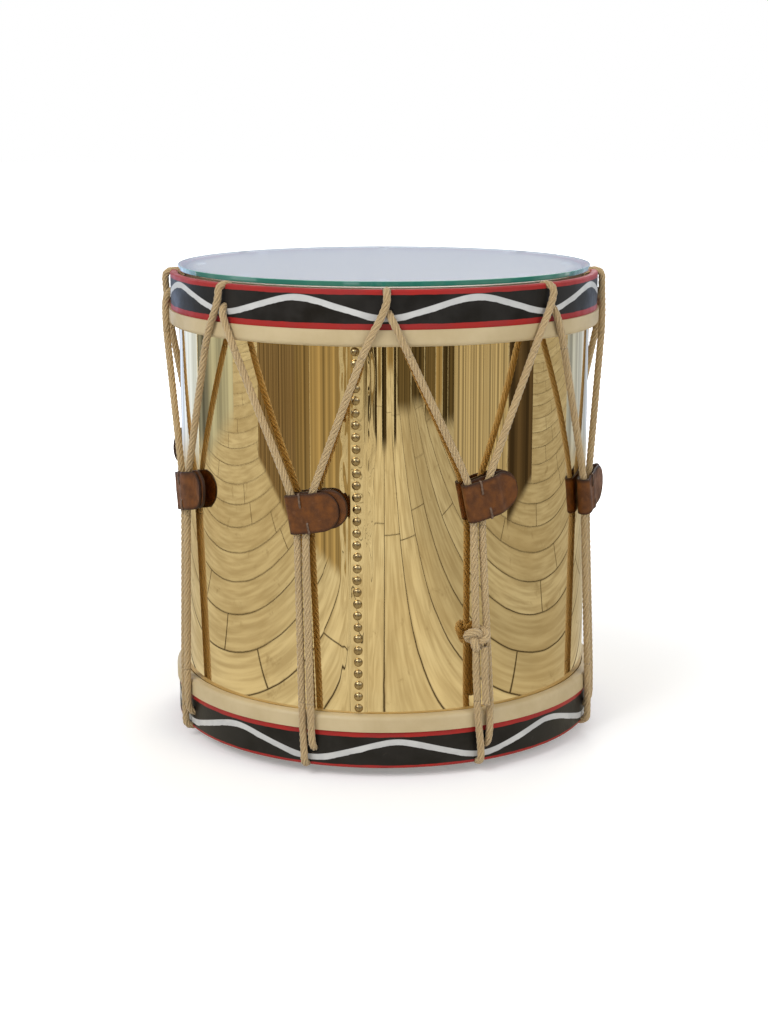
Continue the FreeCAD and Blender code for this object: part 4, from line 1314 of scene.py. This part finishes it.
BOARDS_SIZE = 9.0
BOARDS_LEVEL = 0.002
BOARD_WIDTH = 0.19
BOARD_LENGTH = 1.3
BOARD_WANDER = 0.006
BOARD_STAGGER = 7.0
SEAM_WIDTH = 0.007
GRAIN_ACROSS = 26.0
GRAIN_ALONG = 2.2
BOARD_TONES = (0.76, 0.71, 0.57), (0.52, 0.46, 0.34)
DARK_BOARD = (0.44, 0.37, 0.24)
DARK_BOARD_SHARE = 0.4
STAIN = (0.24, 0.18, 0.10)
STAIN_SHARE = 0.45
BOARD_SEAM = (0.04, 0.025, 0.01)
# Where the light on the boards changes, right and left of the drum, and from which to which strength
RIGHT_LIGHT = 0.12, 0.7, 1.14, 0.79
LEFT_LIGHT = -0.7, -0.12, 0.86, 1.0


def board_finish():
    """Warm boards laid side by side, with dark seams, stains and grain."""
    boards = Finish("bounce_boards")
    x, y, _ = boards.split(boards.place())
    wander = boards.effect(MOTTLING, Scale=6.0, Spread=0.4) - 0.5
    across = (x + wander * BOARD_WANDER) / BOARD_WIDTH
    number = across.calc("FLOOR")
    own = boards.add("ShaderNodeTexWhiteNoise", {"W": number}, output="Value", noise_dimensions="1D")
    along = y / BOARD_LENGTH + own * BOARD_STAGGER
    side_seam, end_seam = (
        (run.calc("FRACT") - 0.5).calc("ABSOLUTE").step(0.5 - SEAM_WIDTH / size, 0.5)
        for run, size in ((across, BOARD_WIDTH), (along, BOARD_LENGTH)))
    spot = boards.add("ShaderNodeCombineXYZ", {0: x * GRAIN_ACROSS, 1: y * GRAIN_ALONG, 2: number})
    grain = boards.clouds(spot, scale=1.6, detail=6.0)
    tone = (own * DARK_BOARD_SHARE).mix(grain.step(*NOISE_RANGE).mix(*BOARD_TONES), DARK_BOARD)
    stains = boards.effect(SCUFFS, Scale=7.0, Share=0.55)
    tone = (stains * STAIN_SHARE).mix(tone, STAIN)
    colour = side_seam.calc("MAXIMUM", end_seam).mix(tone, BOARD_SEAM)
    return boards.glow(colour, x.step(*RIGHT_LIGHT) * x.step(*LEFT_LIGHT))


PLEAT_SHADE_SHARES = 0.45, 1.2


def card_finish(name, colour, pleats, foot):
    """A curtain or card: its tone, drawn out in uneven upright pleats painted as light and shade, with a
    soft foot.
    """
    card = Finish(name)
    x, y, z = card.split(card.place())
    fold = card.add("ShaderNodeTexNoise", {
        "W": azimuth_of(x, y) * pleats, "Scale": 1.0, "Detail": 3.0, "Roughness": 0.6,
    }, noise_dimensions="1D")
    # The pleats' folds are painted light and shade: a darker and a paler copy of the card's tone
    dark, light = (tuple(share * value for value in colour) for share in PLEAT_SHADE_SHARES)
    return card.glow(fold.step(*NOISE_RANGE).mix(dark, light), solid=z.step(0.0, foot))


# Each card: its two azimuths, its distance from the drum's axis at both, its colour, how fine its pleats are
# and how softly its foot fades into the boards
CARDS = (
    (-158.0, -119.0, 1.6, 1.6, (1.06, 1.28, 1.75), 3.0, 0.12),
    (-119.0, -108.0, 1.8, 1.8, (0.24, 0.26, 0.26), 14.0, 0.08),
    (-108.0, -87.0, 1.75, 2.3, (0.54, 0.58, 0.54), 6.0, 0.08),
    (-69.0, -45.0, 2.0, 1.3, (0.25, 0.18, 0.10), 60.0, 0.02),
    (-45.0, -37.0, 1.3, 1.2, (0.30, 0.22, 0.11), 40.0, 0.03),
    (-37.0, -19.0, 1.25, 1.05, (0.46, 0.35, 0.18), 22.0, 0.03),
    (36.0, 66.0, 1.9, 1.55, (0.55, 0.47, 0.32), 50.0, 0.03),
    (66.0, 84.0, 1.35, 1.7, (0.10, 0.07, 0.04), 12.0, 0.03),
    (88.0, 115.0, 4.2, 4.2, (0.60, 0.64, 0.66), 8.0, 0.12),
    (115.0, 160.0, 1.6, 1.6, (0.62, 0.72, 0.90), 4.0, 0.12),
    (172.0, 188.0, 1.9, 1.9, (0.44, 0.40, 0.33), 20.0, 0.12),
)
CARD_HEIGHT = 0.9
CARD_STEP = 3.0
# Each stand between the curtains: its two azimuths, its distance and its tone
STANDS = (
    (-12.5, -9.0, 2.5, 0.34), (-8.6, -6.6, 2.2, 0.10), (-6.0, -3.6, 2.15, 0.05), (-3.0, -1.6, 2.8, 0.30),
    (-1.1, 1.2, 2.1, 0.06), (1.6, 5.2, 3.3, 0.40), (5.3, 6.3, 2.15, 0.04), (6.8, 13.6, 2.6, 0.15),
    (14.0, 20.6, 2.7, 0.10), (21.0, 26.5, 2.5, 0.17), (27.0, 30.0, 2.6, 0.44), (30.4, 33.0, 2.35, 0.06),
    (33.3, 36.5, 2.4, 0.11),
)
STAND_TINT = (1.0, 0.74, 0.36)
STAND_PLEATS = 45.0
STAND_FOOT = 0.05
SKY_CARD_COLOUR = (0.53, 0.585, 0.715)
SKY_CARD_AWAY = 1.45
SKY_CARD_LOW = 0.57
SKY_CARD_HIGH = 1.08
SKY_CARD_STEP = 5.625


def only_mirrored(piece):
    """Mirrored in brass and glass, not seen straight or through the glass, casting no light or shadow."""
    for ray in ("camera", "transmission", "diffuse", "shadow", "volume_scatter"):
        setattr(piece, f"visible_{ray}", False)


def set_card(name, start, end, near_start, near_end, finish, low=0.0, high=CARD_HEIGHT, step=CARD_STEP):
    """An upright card between two azimuths, at its own distance at each."""
    count = max(2, round((end - start) / step))
    vertices = []
    for i in range(count + 1):
        share = i / count
        near = near_start + (near_end - near_start) * share
        vertices += [on_drum(near, start + (end - start) * share, level) for level in (low, high)]
    faces = [[2 * i, 2 * i + 2, 2 * i + 3, 2 * i + 1] for i in range(count)]
    card = stage_piece(name, vertices, faces, finish)
    only_mirrored(card)
    return card


def set_cards():
    for number, (start, end, near_start, near_end, *look) in enumerate(CARDS, start=1):
        name = f"card_{number}"
        set_card(name, start, end, near_start, near_end, card_finish(name, *look))
    for number, (start, end, away, tone) in enumerate(STANDS, start=1):
        name = f"stand_{number}"
        colour = tuple(tone * value for value in STAND_TINT)
        set_card(name, start, end, away, away, card_finish(name, colour, STAND_PLEATS, STAND_FOOT))
    only_mirrored(flat_stage("bounce_boards", BOARDS_SIZE, BOARDS_LEVEL, board_finish()))

    # A pale grey ring for the glass, whose under face mirrors it too, back out through the upper one
    sky = Finish("sky_card").glow(SKY_CARD_COLOUR)
    ring = set_card("sky_card", 0.0, 360.0, SKY_CARD_AWAY, SKY_CARD_AWAY, sky, SKY_CARD_LOW, SKY_CARD_HIGH,
                    SKY_CARD_STEP)
    ring.visible_transmission = True


DRUM_MIDDLE = Vector((0.0, 0.0, 0.3))
SKY_STRENGTH = 0.5
# Each lamp: its name, place, size and power
LAMPS = (
    ("key", (-2.0, -2.4, 2.6), 2.2, 75.0),
    ("fill", (2.4, -2.0, 1.8), 2.2, 32.0),
    ("back", (0.6, 2.6, 2.6), 2.0, 40.0),
)
CAMERA_PLACE = (0.0, -2.2087, 0.7296)
CAMERA_DIP = 12.205
CAMERA_LENS = 66.98
CAMERA_SENSOR = 36.0


def place_object(name, data, place, turn):
    holder = bpy.data.objects.new(name, data)
    holder.location = place
    holder.rotation_euler = turn
    scene.collection.objects.link(holder)
    return holder


def light_the_studio():
    scene.world = bpy.data.worlds.new("studio")
    scene.world.use_nodes = True
    sky = Nodes(scene.world.node_tree)
    background = sky.tree.nodes["Background"].inputs
    sky.feed(background["Color"], WHITE)
    sky.feed(background["Strength"], seen_rays(sky).between(SKY_STRENGTH, 1.0))
    for name, place, size, power in LAMPS:
        lamp = bpy.data.lights.new(name, "AREA")
        lamp.shape = "DISK"
        lamp.size = size
        lamp.energy = power
        place_object(name, lamp, place, (DRUM_MIDDLE - Vector(place)).to_track_quat("-Z", "Y").to_euler())
    flat_stage("pale_floor", FLOOR_SIZE, 0.0, floor_finish())
    set_cards()


def set_camera():
    camera = bpy.data.cameras.new("camera")
    camera.lens = CAMERA_LENS
    camera.sensor_width = CAMERA_SENSOR
    scene.camera = place_object("camera", camera, CAMERA_PLACE, (math.radians(90.0 - CAMERA_DIP), 0.0, 0.0))


dress_the_drum()
light_the_studio()
set_camera()
scene.view_settings.view_transform = "Standard"
